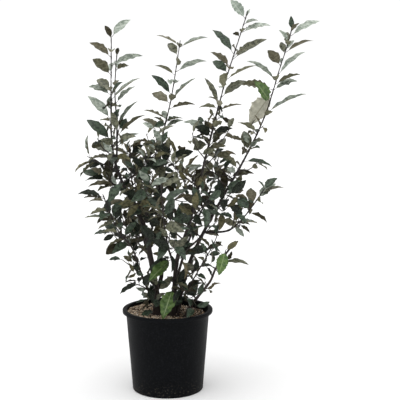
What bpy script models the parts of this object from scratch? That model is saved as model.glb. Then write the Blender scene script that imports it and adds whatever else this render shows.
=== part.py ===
"""An ebbinge silverberry in a black nursery pot.

The pot's flat underside stands on the origin, +Z is up, and the side that was photographed
faces -Y. Woody stems rise from the soil, lean apart and carry leafy masses: each mass is
one stem with side twigs and leaves, grown by the same seeded rule and fused into one body.
"""

import math
import random
from typing import NamedTuple

import bmesh
import bpy
from mathutils import Matrix, Quaternion, Vector
from mathutils.bvhtree import BVHTree
from mathutils.geometry import interpolate_bezier

OBJECT_NAME = "potted_ebbinge_silverberry"
UP = Vector((0.0, 0.0, 1.0))
FIT_GAP = 0.0003

# The pot: a ten-litre nursery pot, 27 cm across its rim
POT_HEIGHT = 0.246
RIM_RADIUS = 0.135
LIP_HEIGHT = 0.010
LIP_EDGE = 0.0015
SHOULDER_RADIUS = 0.1245
BASE_RADIUS = 0.106
BASE_EDGE = 0.003
WALL = 0.0022
POT_SIDES = 40
DRAIN_HOLES = 8
DRAIN_SIDES = 8
DRAIN_RADIUS = 0.006
DRAIN_RING = 0.086

# The soil fills the pot and is flat round the stems, a little lower at the wall
SOIL_TOP = 0.2265
SOIL_FLAT_RADIUS = 0.075
SOIL_EDGE = 0.2215

# Wood: the step between a limb's rings, its sides, and the flare where a stem leaves the soil
LIMB_STEP = 0.026
LIMB_SIDES_RESOLUTION = 1
RINGS_TO_FOOT = 1.35
TRUNK_TOP = 0.335
FLARE = 0.45
FLARE_HEIGHT = 0.014
SEAT_REACH = 0.012
SEAT_LIMIT = 0.05
LOWEST_SINE = 0.25

# Leafy shoots. Places are shares of the stem's length: the lowest twig's, and their spread
SEED = 215
TOP_STEM_SIDES = 4
TOP_STEM_STEP = 0.045
STEM_SINK = 0.002
TAPER = 1.8
SIDE_STEM_RADIUS = 0.0027
SIDE_STEM_START = (0.80, 0.60)
SIDE_STEM_PARTS = (0.30, 0.35, 0.35)
TWIG_SIDES = 3
TWIG_LENGTH = 0.085
TWIG_STEM_SHARE = 0.55
TWIG_LENGTHS = (0.80, 1.15)
TWIG_PITCH = math.radians(50.0)
TWIG_TURN_SPREAD = 0.4
TWIG_RISE = 0.6
TWIG_RADIUS = 0.0017
TIP_RADIUS = 0.0011
TOP_TWIG_PLACES = (0.02, 0.16)
SIDE_TWIG_PLACES = (0.25, 0.50)

# Leaves: two turns of the stem for every five, the blade's form, and how far each draw spreads
INTERNODE = 0.0225
DIVERGENCE = math.radians(144.0)
SPIRE_INTERNODE = 0.055
SPIRE_FIRST_LEAF = 0.030
TIP_MARGIN = 0.001
TOP_FIRST_LEAF = 0.020
SIDE_FIRST_LEAF = 0.032
TWIG_FIRST_LEAF = 0.022
TWIG_LEAF_SHARE = 0.92
LEAF_PITCH = math.radians(70.0)
LEAF_WIDTH_SHARE = 0.37
LEAF_THICKNESS_SHARE = 0.030
LEAF_FOLD_SHARE = 0.20
TURN_SPREAD = 0.30
PITCH_SPREAD = 0.22
TIP_PITCH_LOSS = 0.25
SIZES = (0.84, 1.14)
TIP_LEAF_SIZE = 0.55
TIP_LEAF_GAIN = 5.0
DROOPS = (0.05, 0.24)
ROLL_SPREAD = 0.9

# Leaves read in the photograph: their droop, how far off their tips may lie along the line of
# sight, the steps in which their roots are looked for, and the most of a width that can show
READ_DROOP = 0.15
READ_REACH = 0.060
READ_STEPS = 120
MOST_SHOWN = 0.95

# Room round a piece when it is tested, and how far a mass may reach over its border with another
CLEARANCE = 0.0006
SHARED_BORDER = 0.016
SPACE_CHECK = 0.6
MELTED = 0.000002


class Limb(NamedTuple):
    """A stem or bough: what carries it, its centre line, its radii and where its wood goes bare."""

    carrier: str
    stations: tuple
    foot_radius: float
    tip_radius: float
    bare_top: float


class Reading(NamedTuple):
    """A leaf as it was read by eye in the photograph: see STANDING_OUT."""

    mass: str
    root_row: float
    tip: tuple
    length: float
    seen: float
    width: float


class Mass(NamedTuple):
    """A mass of leaves: its limb, its leaves' length and its side twigs.

    A mass on a limb's side has its height there, the compass direction and length of its stem,
    and how steeply that rises. One that runs on from a limb's tip has its first leaf's turn.
    """

    limb: str
    leaf: float
    twigs: int
    height: float = 0.0
    compass: float = 0.0
    length: float = 0.0
    rise: float = 0.62
    turn: float = 0.0


# The photograph's camera, worked out from the ellipses of the pot's rim and base
CAMERA = Vector((0.0971, -2.9776, 1.018))
CAMERA_PITCH = math.radians(8.487)
CAMERA_FOCUS = 1019.69
PHOTO_MIDDLE = 200.0
COLUMN_WIDTH = 0.003

LEFT_LINE = (
    (-0.030, 0.002, 0.215), (-0.035, 0.000, 0.301), (-0.048, -0.010, 0.395), (-0.070, -0.025, 0.506),
    (-0.132, -0.045, 0.642), (-0.154, -0.060, 0.728), (-0.155, -0.075, 0.872), (-0.151, -0.090, 1.050),
)

LIMBS = {
    "trunk": Limb("soil", LEFT_LINE, 0.0120, 0.0012, TRUNK_TOP),
    "stem_left": Limb("trunk", LEFT_LINE, 0.0120, 0.0012, 0.700),
    "stem_middle": Limb("trunk", (
        (-0.035, 0.000, 0.296), (-0.019, 0.022, 0.340), (-0.024, 0.044, 0.470), (-0.020, 0.080, 0.723),
        (0.011, 0.100, 0.869), (0.038, 0.120, 1.041)), 0.0070, 0.0012, 0.665),
    "stem_right": Limb("soil", (
        (0.010, -0.003, 0.215), (0.018, -0.002, 0.271), (0.029, 0.000, 0.393), (0.065, -0.010, 0.504),
        (0.115, -0.030, 0.710), (0.166, -0.040, 0.910), (0.198, -0.040, 1.012), (0.233, -0.040, 1.122)),
        0.0088, 0.0012, 0.660),
    "stem_far_right": Limb("soil", (
        (0.022, 0.024, 0.215), (0.036, 0.026, 0.272), (0.067, 0.032, 0.381), (0.127, 0.045, 0.506),
        (0.238, 0.060, 0.704), (0.294, 0.070, 0.826), (0.332, 0.080, 0.950), (0.364, 0.080, 1.053),
        (0.371, 0.080, 1.100)), 0.0080, 0.0012, 0.640),
    "stem_front_right": Limb("soil", (
        (0.050, -0.022, 0.215), (0.067, -0.030, 0.257), (0.126, -0.050, 0.338), (0.144, -0.065, 0.383),
        (0.199, -0.090, 0.468)), 0.0052, 0.0030, 0.500),
    "stem_front_thin": Limb("soil", (
        (0.028, -0.020, 0.215), (0.042, -0.022, 0.271), (0.082, -0.030, 0.349), (0.141, -0.050, 0.460),
        (0.152, -0.060, 0.505)), 0.0034, 0.0012, 0.320),
    "stem_back_left": Limb("soil", (
        (-0.028, 0.040, 0.215), (-0.045, 0.062, 0.330), (-0.085, 0.115, 0.470), (-0.115, 0.180, 0.600),
        (-0.125, 0.215, 0.720)), 0.0062, 0.0016, 0.500),
    "stem_back_right": Limb("soil", (
        (0.012, 0.058, 0.215), (0.030, 0.085, 0.330), (0.075, 0.130, 0.460), (0.130, 0.185, 0.580),
        (0.160, 0.215, 0.700)), 0.0062, 0.0016, 0.490),
    "bough_low_left": Limb("trunk", (
        (-0.034, 0.000, 0.262), (-0.062, -0.018, 0.318), (-0.081, -0.040, 0.374), (-0.100, -0.068, 0.443),
        (-0.136, -0.092, 0.494), (-0.156, -0.112, 0.544), (-0.178, -0.125, 0.610)), 0.0050, 0.0014, 0.425),
    "bough_whip": Limb("stem_left", (
        (-0.149, -0.055, 0.672), (-0.142, -0.062, 0.715), (-0.141, -0.060, 0.800), (-0.146, -0.050, 0.900),
        (-0.140, -0.030, 1.012)), 0.0034, 0.0014, 0.712),
    "bough_front": Limb("stem_right", (
        (0.024, -0.001, 0.335), (0.020, -0.045, 0.385), (0.005, -0.105, 0.455), (-0.005, -0.165, 0.545),
        (-0.010, -0.195, 0.650)), 0.0046, 0.0014, 0.440),
    "bough_right": Limb("stem_far_right", (
        (0.110, 0.042, 0.470), (0.150, 0.018, 0.474), (0.186, 0.004, 0.484), (0.229, -0.020, 0.529),
        (0.285, -0.050, 0.615)), 0.0042, 0.0014, 0.482),
}

TOP_MASSES = {
    "leaves_left_top": Mass("stem_left", 0.062, 2, turn=90.0),
    "leaves_whip_top": Mass("bough_whip", 0.058, 0, turn=90.0),
    "leaves_middle_top": Mass("stem_middle", 0.060, 2, turn=90.0),
    "leaves_right_top": Mass("stem_right", 0.060, 3, turn=90.0),
    "leaves_far_right_top": Mass("stem_far_right", 0.060, 2, turn=90.0),
    "leaves_front_thin_top": Mass("stem_front_thin", 0.048, 0, turn=160.0),
    "leaves_back_left_top": Mass("stem_back_left", 0.072, 2, turn=100.0),
    "leaves_back_right_top": Mass("stem_back_right", 0.072, 2, turn=160.0),
    "leaves_low_left_top": Mass("bough_low_left", 0.070, 2, turn=100.0),
    "leaves_front_top": Mass("bough_front", 0.074, 3, turn=80.0),
    "leaves_bough_right_top": Mass("bough_right", 0.066, 2, turn=260.0),
}

SIDE_MASSES = {
    "leaves_left_1": Mass("stem_left", 0.070, 2, 0.450, 205.0, 0.170),
    "leaves_left_2": Mass("stem_left", 0.070, 2, 0.500, 80.0, 0.150),
    "leaves_left_3": Mass("stem_left", 0.074, 2, 0.545, 290.0, 0.170),
    "leaves_left_4": Mass("stem_left", 0.072, 2, 0.590, 180.0, 0.120),
    "leaves_left_5": Mass("stem_left", 0.068, 1, 0.630, 0.0, 0.170, rise=0.75),
    "leaves_left_6": Mass("stem_left", 0.070, 2, 0.655, 195.0, 0.110, rise=0.45),
    "leaves_middle_1": Mass("stem_middle", 0.070, 1, 0.420, 130.0, 0.140),
    "leaves_middle_2": Mass("stem_middle", 0.072, 2, 0.475, 245.0, 0.150),
    "leaves_middle_3": Mass("stem_middle", 0.070, 2, 0.530, 15.0, 0.150),
    "leaves_middle_4": Mass("stem_middle", 0.070, 1, 0.580, 110.0, 0.140),
    "leaves_middle_5": Mass("stem_middle", 0.072, 2, 0.625, 290.0, 0.160, rise=0.72),
    "leaves_right_1": Mass("stem_right", 0.070, 0, 0.380, 240.0, 0.035),
    "leaves_right_2": Mass("stem_right", 0.070, 2, 0.455, 160.0, 0.140),
    "leaves_right_3": Mass("stem_right", 0.072, 2, 0.510, 300.0, 0.150),
    "leaves_right_4": Mass("stem_right", 0.068, 2, 0.565, 90.0, 0.140),
    "leaves_right_5": Mass("stem_right", 0.068, 2, 0.615, 205.0, 0.140, rise=0.72),
    "leaves_right_foot": Mass("stem_right", 0.070, 0, 0.295, 265.0, 0.035),
    "leaves_far_right_1": Mass("stem_far_right", 0.066, 1, 0.455, 200.0, 0.180),
    "leaves_far_right_2": Mass("stem_far_right", 0.068, 2, 0.520, 300.0, 0.140),
    "leaves_far_right_3": Mass("stem_far_right", 0.068, 1, 0.565, 70.0, 0.140),
    "leaves_far_right_4": Mass("stem_far_right", 0.066, 2, 0.605, 190.0, 0.110, rise=0.75),
    "leaves_far_right_5": Mass("stem_far_right", 0.070, 1, 0.628, 175.0, 0.090, rise=0.80),
    "leaves_far_right_foot": Mass("stem_far_right", 0.056, 1, 0.330, 320.0, 0.080),
    "leaves_front_right_1": Mass("stem_front_right", 0.056, 0, 0.285, 200.0, 0.080),
    "leaves_front_right_2": Mass("stem_front_right", 0.060, 0, 0.425, 270.0, 0.030),
    "leaves_front_right_3": Mass("stem_front_right", 0.060, 0, 0.390, 0.0, 0.028),
    "leaves_front_right_foot": Mass("stem_front_right", 0.060, 0, 0.262, 130.0, 0.080),
    "leaves_low_left_1": Mass("bough_low_left", 0.060, 0, 0.300, 225.0, 0.090, rise=0.35),
    "leaves_low_left_2": Mass("bough_low_left", 0.062, 0, 0.360, 210.0, 0.080),
    "leaves_front_1": Mass("bough_front", 0.072, 1, 0.400, 320.0, 0.130),
    "leaves_back_left_1": Mass("stem_back_left", 0.072, 0, 0.400, 150.0, 0.150),
    "leaves_back_right_1": Mass("stem_back_right", 0.072, 1, 0.400, 25.0, 0.160),
    "leaves_trunk_foot": Mass("trunk", 0.062, 0, 0.285, 280.0, 0.075),
}

# The leaves that stand out, each read by eye in the photograph: the row of its root, the column
# and row of its tip, its length with a minus where its tip is nearer to the camera than its root,
# the columns of its width that show with a minus for its underside, and its real width
STANDING_OUT = (
    Reading("leaves_left_top", 37, (130, 19), 0.080, 6, 0.027),
    Reading("leaves_left_top", 39, (105, 25.5), -0.050, -2, 0.018),
    Reading("leaves_left_top", 57, (90, 42.5), -0.075, -4.5, 0.026),
    Reading("leaves_left_top", 75, (93, 59), -0.075, -8, 0.030),
    Reading("leaves_left_top", 66, (142, 55), 0.095, 4, 0.026),
    Reading("leaves_left_top", 91, (97, 79), 0.070, 7.5, 0.028),
    Reading("leaves_left_top", 94.5, (89, 86), 0.085, 4.5, 0.028),
    Reading("leaves_left_top", 97, (122, 82), -0.065, 6, 0.028),
    Reading("leaves_left_top", 100.5, (140, 77), 0.100, 2.5, 0.024),
    Reading("leaves_left_top", 119, (88, 96), 0.098, 6.5, 0.030),
    Reading("leaves_left_top", 104, (104, 109), -0.045, -7, 0.028),
    Reading("leaves_left_top", 106.5, (120, 107), -0.045, -6, 0.028),
    Reading("leaves_left_top", 141, (87, 119.5), 0.098, 8.5, 0.032),
    Reading("leaves_left_top", 121, (100, 120), -0.045, -4, 0.024),
    Reading("leaves_left_top", 154, (94, 144), 0.078, 8, 0.030),
    Reading("leaves_left_top", 158.5, (92, 158), 0.072, 3, 0.024),
    Reading("leaves_left_6", 163, (82, 164), 0.060, 3, 0.024),
    Reading("leaves_left_4", 176, (91, 168), -0.062, -6, 0.028),
    Reading("leaves_left_4", 180, (85, 180), 0.062, 2, 0.022),
    Reading("leaves_left_4", 185, (88, 186), -0.090, -6, 0.030),
    Reading("leaves_low_left_top", 197, (78, 193), 0.078, 3, 0.026),
    Reading("leaves_low_left_top", 201, (89, 201), -0.050, -3.5, 0.024),
    Reading("leaves_low_left_top", 211, (90, 214), -0.065, -5, 0.028),
    Reading("leaves_low_left_top", 219, (84, 217.5), 0.088, 2, 0.026),
    Reading("leaves_low_left_top", 223, (98, 229), -0.055, -4, 0.026),
    Reading("leaves_low_left_top", 233, (101, 232), -0.065, -4, 0.026),
    Reading("leaves_low_left_top", 239, (107, 247), -0.065, -4, 0.026),
    Reading("leaves_left_1", 236, (134, 226), -0.045, -8, 0.032),
    Reading("leaves_whip_top", 70, (129, 65), -0.050, -2.5, 0.022),
    Reading("leaves_whip_top", 56, (118, 47.5), -0.032, -1.5, 0.012),
    Reading("leaves_whip_top", 104, (135, 86), 0.078, 3, 0.026),
    Reading("leaves_whip_top", 121, (119, 109), -0.048, 5.5, 0.022),
    Reading("leaves_whip_top", 127, (137, 101), 0.090, 2.5, 0.022),
    Reading("leaves_whip_top", 136, (145, 114), -0.102, -2.5, 0.028),
    Reading("leaves_whip_top", 147, (138, 133), 0.075, 4, 0.028),
    Reading("leaves_middle_top", 45, (157, 35), -0.075, -1, 0.022),
    Reading("leaves_middle_top", 48, (207, 37), 0.088, 1.5, 0.024),
    Reading("leaves_middle_top", 56, (168, 43), 0.060, 6.5, 0.025),
    Reading("leaves_middle_top", 72, (206, 60), 0.102, 4.5, 0.027),
    Reading("leaves_middle_top", 75.5, (155, 65), -0.072, -2.5, 0.024),
    Reading("leaves_middle_top", 95, (152, 75), 0.085, 5, 0.026),
    Reading("leaves_middle_top", 79.5, (170, 84), -0.045, -5, 0.024),
    Reading("leaves_middle_top", 103, (152, 93), -0.070, -8, 0.030),
    Reading("leaves_middle_top", 101, (195, 78), 0.098, 1.5, 0.024),
    Reading("leaves_middle_top", 109, (195, 104), -0.080, -3.2, 0.026),
    Reading("leaves_middle_top", 119, (144, 110), -0.068, -1.8, 0.024),
    Reading("leaves_middle_top", 124.5, (154, 117), 0.040, 2, 0.020),
    Reading("leaves_middle_top", 122, (178, 117), 0.045, 3.5, 0.022),
    Reading("leaves_middle_top", 128, (183, 120), 0.062, 3, 0.024),
    Reading("leaves_right_top", 19, (231, 0), 0.072, 8, 0.028),
    Reading("leaves_right_top", 17, (250, 9), 0.030, 1, 0.010),
    Reading("leaves_right_top", 25, (258, 20), 0.045, 1.5, 0.018),
    Reading("leaves_right_top", 33, (270, 24.5), 0.088, 3, 0.026),
    Reading("leaves_right_top", 36, (233, 33), -0.028, -3, 0.016),
    Reading("leaves_right_top", 60, (266, 39), 0.115, 4.5, 0.028),
    Reading("leaves_right_top", 57, (251, 46), -0.072, 5.5, 0.028),
    Reading("leaves_right_top", 54.5, (213, 29.5), 0.102, 4.8, 0.028),
    Reading("leaves_right_top", 67, (211, 52), -0.075, -5, 0.028),
    Reading("leaves_right_top", 72.5, (213, 61), 0.060, 7, 0.028),
    Reading("leaves_right_top", 70, (222, 87), -0.075, -9, 0.030),
    Reading("leaves_right_top", 80, (256, 65), 0.088, -2, 0.022),
    Reading("leaves_right_top", 98, (246, 80), 0.092, 6, 0.028),
    Reading("leaves_right_top", 105, (205, 78), 0.095, 1, 0.020),
    Reading("leaves_right_top", 101.5, (208, 97), -0.042, 1.3, 0.016),
    Reading("leaves_right_top", 108, (199, 107), -0.062, -4, 0.024),
    Reading("leaves_right_top", 110.5, (242, 104), -0.072, -1.6, 0.022),
    Reading("leaves_right_top", 113, (221, 118), -0.035, -7, 0.026),
    Reading("leaves_right_top", 132, (184, 121), 0.088, 3.5, 0.026),
    Reading("leaves_right_top", 128, (222, 121), -0.040, -5, 0.024),
    Reading("leaves_right_top", 137, (197, 130), 0.045, 6, 0.026),
    Reading("leaves_right_top", 140, (228, 131), 0.062, 5, 0.028),
    Reading("leaves_right_top", 149, (226, 146), -0.060, -7, 0.030),
    Reading("leaves_right_top", 145, (193, 149), 0.055, 8, 0.030),
    Reading("leaves_far_right_top", 29, (291, 16), 0.038, 1.5, 0.016),
    Reading("leaves_far_right_top", 33, (299, 23), -0.038, -2.3, 0.018),
    Reading("leaves_far_right_top", 37, (320, 20.5), 0.105, 3.6, 0.028),
    Reading("leaves_far_right_top", 42, (279, 30), 0.045, 3, 0.020),
    Reading("leaves_far_right_top", 43, (287, 32), 0.040, 5, 0.018),
    Reading("leaves_far_right_top", 54, (281, 42), 0.045, 6, 0.020),
    Reading("leaves_far_right_top", 50, (294, 40), 0.045, 3, 0.018),
    Reading("leaves_far_right_top", 52, (313, 39.5), -0.098, -2.8, 0.026),
    Reading("leaves_far_right_top", 66, (268, 50), -0.064, -9, 0.032),
    Reading("leaves_far_right_top", 75, (304, 51.5), 0.108, 1.6, 0.024),
    Reading("leaves_far_right_top", 80, (248, 60), 0.106, 2.8, 0.026),
    Reading("leaves_far_right_top", 84, (300, 74), -0.082, -3.4, 0.027),
    Reading("leaves_far_right_top", 90, (297, 80), 0.078, 4, 0.027),
    Reading("leaves_far_right_top", 113, (306, 93), 0.135, 1.2, 0.024),
    Reading("leaves_far_right_top", 133, (238, 122), -0.082, -4, 0.027),
    Reading("leaves_far_right_top", 143, (264, 140), 0.040, 3, 0.018),
    Reading("leaves_far_right_top", 151, (244, 131), 0.070, 8, 0.032),
    Reading("leaves_far_right_top", 161, (272, 166), 0.092, 3.5, 0.028),
    Reading("leaves_far_right_top", 170, (219, 154), -0.080, -5, 0.028),
    Reading("leaves_far_right_top", 174, (227, 168), 0.036, 5, 0.024),
    Reading("leaves_bough_right_top", 190, (277, 178), 0.055, 4, 0.026),
    Reading("leaves_bough_right_top", 193, (284, 187), 0.070, 1.5, 0.024),
    Reading("leaves_bough_right_top", 198, (271, 187), 0.055, 6, 0.028),
    Reading("leaves_bough_right_top", 204, (249, 189), -0.055, -8, 0.030),
    Reading("leaves_bough_right_top", 209, (236, 199), 0.055, 9, 0.032),
    Reading("leaves_far_right_top", 93, (250, 124), 0.115, -17, 0.054),
    Reading("leaves_far_right_top", 101.5, (255, 82), -0.106, 12, 0.040),
    Reading("leaves_far_right_top", 90, (240.5, 84), 0.099, -8, 0.036),
    Reading("leaves_right_1", 258.5, (149.5, 280.5), -0.123, 9.5, 0.036),
    Reading("leaves_right_foot", 286.5, (163, 318), -0.120, 13.5, 0.044),
    Reading("leaves_front_right_2", 250, (219, 274.5), -0.080, 11, 0.034),
    Reading("leaves_front_right_3", 262, (248, 263.5), -0.082, 3, 0.022),
)

MASSES = {**TOP_MASSES, **SIDE_MASSES}
SPIRES = ("leaves_left_top", "leaves_whip_top", "leaves_middle_top", "leaves_right_top",
          "leaves_far_right_top")

# What is tried in turn where a leaf would touch something: degrees round its shoot, degrees of
# pitch, and share of its size
LEAF_TRIES = (
    (0, 0, 1.0), (22, 0, 1.0), (-22, 0, 1.0), (0, -18, 1.0), (0, 16, 0.95),
    (40, -10, 0.9), (-40, -10, 0.9), (0, -30, 0.8), (70, 0, 0.75), (-70, 0, 0.75),
)

FINISHES = {
    "black_plastic": ((0.010, 0.011, 0.012), 0.50),
    "bark_soil": ((0.100, 0.078, 0.058), 0.95),
    "dark_bark": ((0.045, 0.030, 0.026), 0.75),
    "grey_green_leaf": ((0.070, 0.095, 0.066), 0.42),
}


class Line:
    """A smooth centre line through stations, with its length, and a radius that tapers along it."""

    def __init__(self, points, foot_radius, tip_radius):
        self.points = [Vector(point) for point in points]
        self.distances = [0.0]
        for before, after in zip(self.points, self.points[1:]):
            self.distances.append(self.distances[-1] + (after - before).length)
        self.length = self.distances[-1]
        self.foot_radius = foot_radius
        self.tip_radius = tip_radius

    def at(self, distance):
        """The point and the direction at a distance from the foot."""
        distance = min(max(distance, 0.0), self.length)
        index = 0
        while index < len(self.points) - 2 and self.distances[index + 1] < distance:
            index += 1
        before = self.points[index]
        after = self.points[index + 1]
        share = (distance - self.distances[index]) / (after - before).length
        return before.lerp(after, share), (after - before).normalized()

    def radius(self, distance):
        left = 1.0 - min(max(distance / self.length, 0.0), 1.0)
        return self.tip_radius + (self.foot_radius - self.tip_radius) * left ** TAPER

    def at_height(self, height):
        """The distance from the foot at which the line first reaches a height."""
        for index, point in enumerate(self.points):
            if point.z >= height and index:
                low = self.points[index - 1]
                share = (height - low.z) / (point.z - low.z)
                return self.distances[index - 1] + share * (point - low).length
        return self.length

    def part(self, start, end, step):
        """The stretch between two distances, in even steps."""
        count = max(2, round((end - start) / step))
        points = [self.at(start + (end - start) * index / count)[0] for index in range(count + 1)]
        return Line(points, self.radius(start), self.radius(end))

    def gap_to(self, point):
        """The distance from a point to the line, measured on its chords."""
        best = math.inf
        for before, after in zip(self.points, self.points[1:]):
            chord = after - before
            share = min(max((point - before).dot(chord) / chord.length_squared, 0.0), 1.0)
            best = min(best, (before + chord * share - point).length)
        return best


def smooth_line(stations, foot_radius, tip_radius, pieces=10):
    """A line of Bezier arcs through the stations, each handle a third of its span."""
    knots = [Vector(station) for station in stations]
    count = len(knots)
    ways = [(knots[min(index + 1, count - 1)] - knots[max(index - 1, 0)]).normalized()
            for index in range(count)]
    points = [knots[0]]
    for index in range(count - 1):
        reach = (knots[index + 1] - knots[index]).length / 3
        first_handle = knots[index] + ways[index] * reach
        last_handle = knots[index + 1] - ways[index + 1] * reach
        points += interpolate_bezier(knots[index], first_handle, last_handle, knots[index + 1], pieces)[1:]
    return Line(points, foot_radius, tip_radius)


def side_line(start, compass, length, rise, foot_radius, tip_radius):
    """A side shoot's line: it leaves outwards and upwards, then turns up to its rise."""
    outward = Vector((math.cos(math.radians(compass)), math.sin(math.radians(compass)), 0.0))
    first_way = outward * SIDE_STEM_START[0] + UP * SIDE_STEM_START[1]
    last_way = outward * math.sqrt(1.0 - rise * rise) + UP * rise
    middle_way = (first_way + last_way * 2.0).normalized()
    points = [start]
    for way, part in zip((first_way, middle_way, last_way), SIDE_STEM_PARTS):
        points.append(points[-1] + way * length * part)
    return Line(points, foot_radius, tip_radius)


def finish(name):
    colour, roughness = FINISHES[name]
    material = bpy.data.materials.get(name)
    if material is None:
        material = bpy.data.materials.new(name)
        material.use_nodes = True
        shader = material.node_tree.nodes["Principled BSDF"]
        shader.inputs["Base Color"].default_value = (*colour, 1.0)
        shader.inputs["Roughness"].default_value = roughness
        shader.inputs["Metallic"].default_value = 0.0
        material.diffuse_color = (*colour, 1.0)
    return material


def add_node(name, mesh, finish_name, home):
    """One named object for each sub-part, with its own finish."""
    mesh.name = name
    mesh.materials.clear()
    mesh.materials.append(finish(finish_name))
    node = bpy.data.objects.new(name, mesh)
    home.objects.link(node)
    return node


def mesh_from(bm, name):
    bmesh.ops.recalc_face_normals(bm, faces=bm.faces)
    mesh = bpy.data.meshes.new(name)
    bm.to_mesh(mesh)
    bm.free()
    return mesh


def turned(name, profile, sides, home):
    """A profile in the XZ plane, down its outer side, turned about the Z axis."""
    bm = bmesh.new()
    corners = [bm.verts.new((radius, 0.0, height)) for radius, height in profile]
    for before, after in zip(corners, corners[1:]):
        bm.edges.new((before, after))
    mesh = bpy.data.meshes.new(name)
    bm.to_mesh(mesh)
    bm.free()
    piece = bpy.data.objects.new(name, mesh)
    home.objects.link(piece)
    turn = piece.modifiers.new("turn", "SCREW")
    turn.steps = sides
    turn.render_steps = sides
    turn.use_merge_vertices = True
    turn.merge_threshold = 0.00005
    turn.use_normal_calculate = True
    return piece


def wall_radius(height):
    """The radius of the pot's outer wall, which tapers from its shoulder to its base."""
    shoulder = POT_HEIGHT - LIP_HEIGHT
    share = (height - BASE_EDGE) / (shoulder - BASE_EDGE)
    return BASE_RADIUS + (SHOULDER_RADIUS - BASE_RADIUS) * share


def make_pot(home, cutters):
    shoulder = POT_HEIGHT - LIP_HEIGHT
    inner_floor = BASE_RADIUS - WALL
    profile = (
        (0.0, WALL),
        (inner_floor, WALL),
        (SHOULDER_RADIUS - WALL, shoulder),
        (SHOULDER_RADIUS - WALL, POT_HEIGHT - LIP_EDGE),
        (SHOULDER_RADIUS - WALL + LIP_EDGE, POT_HEIGHT),
        (RIM_RADIUS - LIP_EDGE, POT_HEIGHT),
        (RIM_RADIUS, POT_HEIGHT - LIP_EDGE),
        (RIM_RADIUS, shoulder + LIP_EDGE),
        (RIM_RADIUS - LIP_EDGE, shoulder),
        (wall_radius(shoulder), shoulder - LIP_EDGE),
        (wall_radius(BASE_EDGE), BASE_EDGE),
        (BASE_RADIUS - BASE_EDGE, 0.0),
        (0.0, 0.0),
    )
    pot = turned("pot", profile, POT_SIDES, home)
    bm = bmesh.new()
    for index in range(DRAIN_HOLES):
        angle = 2 * math.pi * index / DRAIN_HOLES
        place = Matrix.Translation((DRAIN_RING * math.cos(angle), DRAIN_RING * math.sin(angle), 0.0))
        bmesh.ops.create_cone(bm, cap_ends=True, segments=DRAIN_SIDES, radius1=DRAIN_RADIUS,
                              radius2=DRAIN_RADIUS, depth=WALL * 6, matrix=place)
    drains = bpy.data.objects.new("drain_hole_cutter", mesh_from(bm, "drain_hole_cutter"))
    drains.hide_render = True
    drains.display_type = "WIRE"
    cutters.objects.link(drains)
    cut = pot.modifiers.new("drain holes", "BOOLEAN")
    cut.operation = "DIFFERENCE"
    cut.object = drains
    pot.data.materials.append(finish("black_plastic"))
    return pot


def make_soil(home):
    side = WALL + FIT_GAP
    bottom = WALL + FIT_GAP
    profile = (
        (0.0, SOIL_TOP),
        (SOIL_FLAT_RADIUS, SOIL_TOP),
        (wall_radius(SOIL_EDGE) - side - FIT_GAP, SOIL_EDGE),
        (wall_radius(bottom) - side - FIT_GAP * 2, bottom),
        (0.0, bottom),
    )
    soil = turned("soil", profile, POT_SIDES, home)
    soil.data.materials.append(finish("bark_soil"))
    return soil


def limb_radius(name, line, distance):
    """A limb's radius, with the root flare where a stem leaves the soil."""
    radius = line.radius(distance)
    if LIMBS[name].carrier == "soil":
        above = max(line.at(distance)[0].z - SOIL_TOP, 0.0)
        radius *= 1.0 + FLARE * math.exp(-above / FLARE_HEIGHT)
    return radius


def limb_mesh(name, line, start, end):
    """A tapering round limb: a beveled curve along its line, made a mesh."""
    span = end - start
    steps = max(3, round(span / LIMB_STEP))
    shares = [index / steps for index in range(steps + 1)]
    if LIMBS[name].carrier == "soil":
        shares = [share ** RINGS_TO_FOOT for share in shares]
    curve = bpy.data.curves.new(name, "CURVE")
    curve.dimensions = "3D"
    curve.bevel_depth = 1.0
    curve.bevel_resolution = LIMB_SIDES_RESOLUTION
    curve.use_fill_caps = True
    spline = curve.splines.new("POLY")
    spline.points.add(steps)
    for point, share in zip(spline.points, shares):
        distance = start + span * share
        point.co = (*line.at(distance)[0], 1.0)
        point.radius = limb_radius(name, line, distance)
    carrier = bpy.data.objects.new(name, curve)
    bpy.context.scene.collection.objects.link(carrier)
    bpy.context.view_layer.update()
    evaluated = carrier.evaluated_get(bpy.context.evaluated_depsgraph_get())
    mesh = bpy.data.meshes.new_from_object(evaluated)
    bpy.data.objects.remove(carrier)
    bpy.data.curves.remove(curve)
    bm = bmesh.new()
    bm.from_mesh(mesh)
    bmesh.ops.remove_doubles(bm, verts=bm.verts, dist=0.00001)
    return bm


def cut_off(bm, point, way):
    """Cut away what lies behind a plane, and close the cut."""
    bmesh.ops.bisect_plane(bm, geom=bm.verts[:] + bm.edges[:] + bm.faces[:], plane_co=point, plane_no=way,
                           clear_inner=True, dist=MELTED / 2)
    rim = [edge for edge in bm.edges if edge.is_boundary]
    bmesh.ops.holes_fill(bm, edges=rim, sides=0)


def seat_on(bm, carrier_points, carrier_way, start, way, radius):
    """Cut a shoot's foot to a flat seat that stands the fit gap off the limb that carries it."""
    outward = (way - carrier_way * way.dot(carrier_way)).normalized()
    reach = radius / max(way.cross(carrier_way).length, LOWEST_SINE) + SEAT_REACH
    near = [(point - start).dot(outward) for point in carrier_points
            if abs((point - start).dot(carrier_way)) < reach and (point - start).length < SEAT_LIMIT]
    cut_off(bm, start + outward * (max(near) + FIT_GAP), outward)


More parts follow.
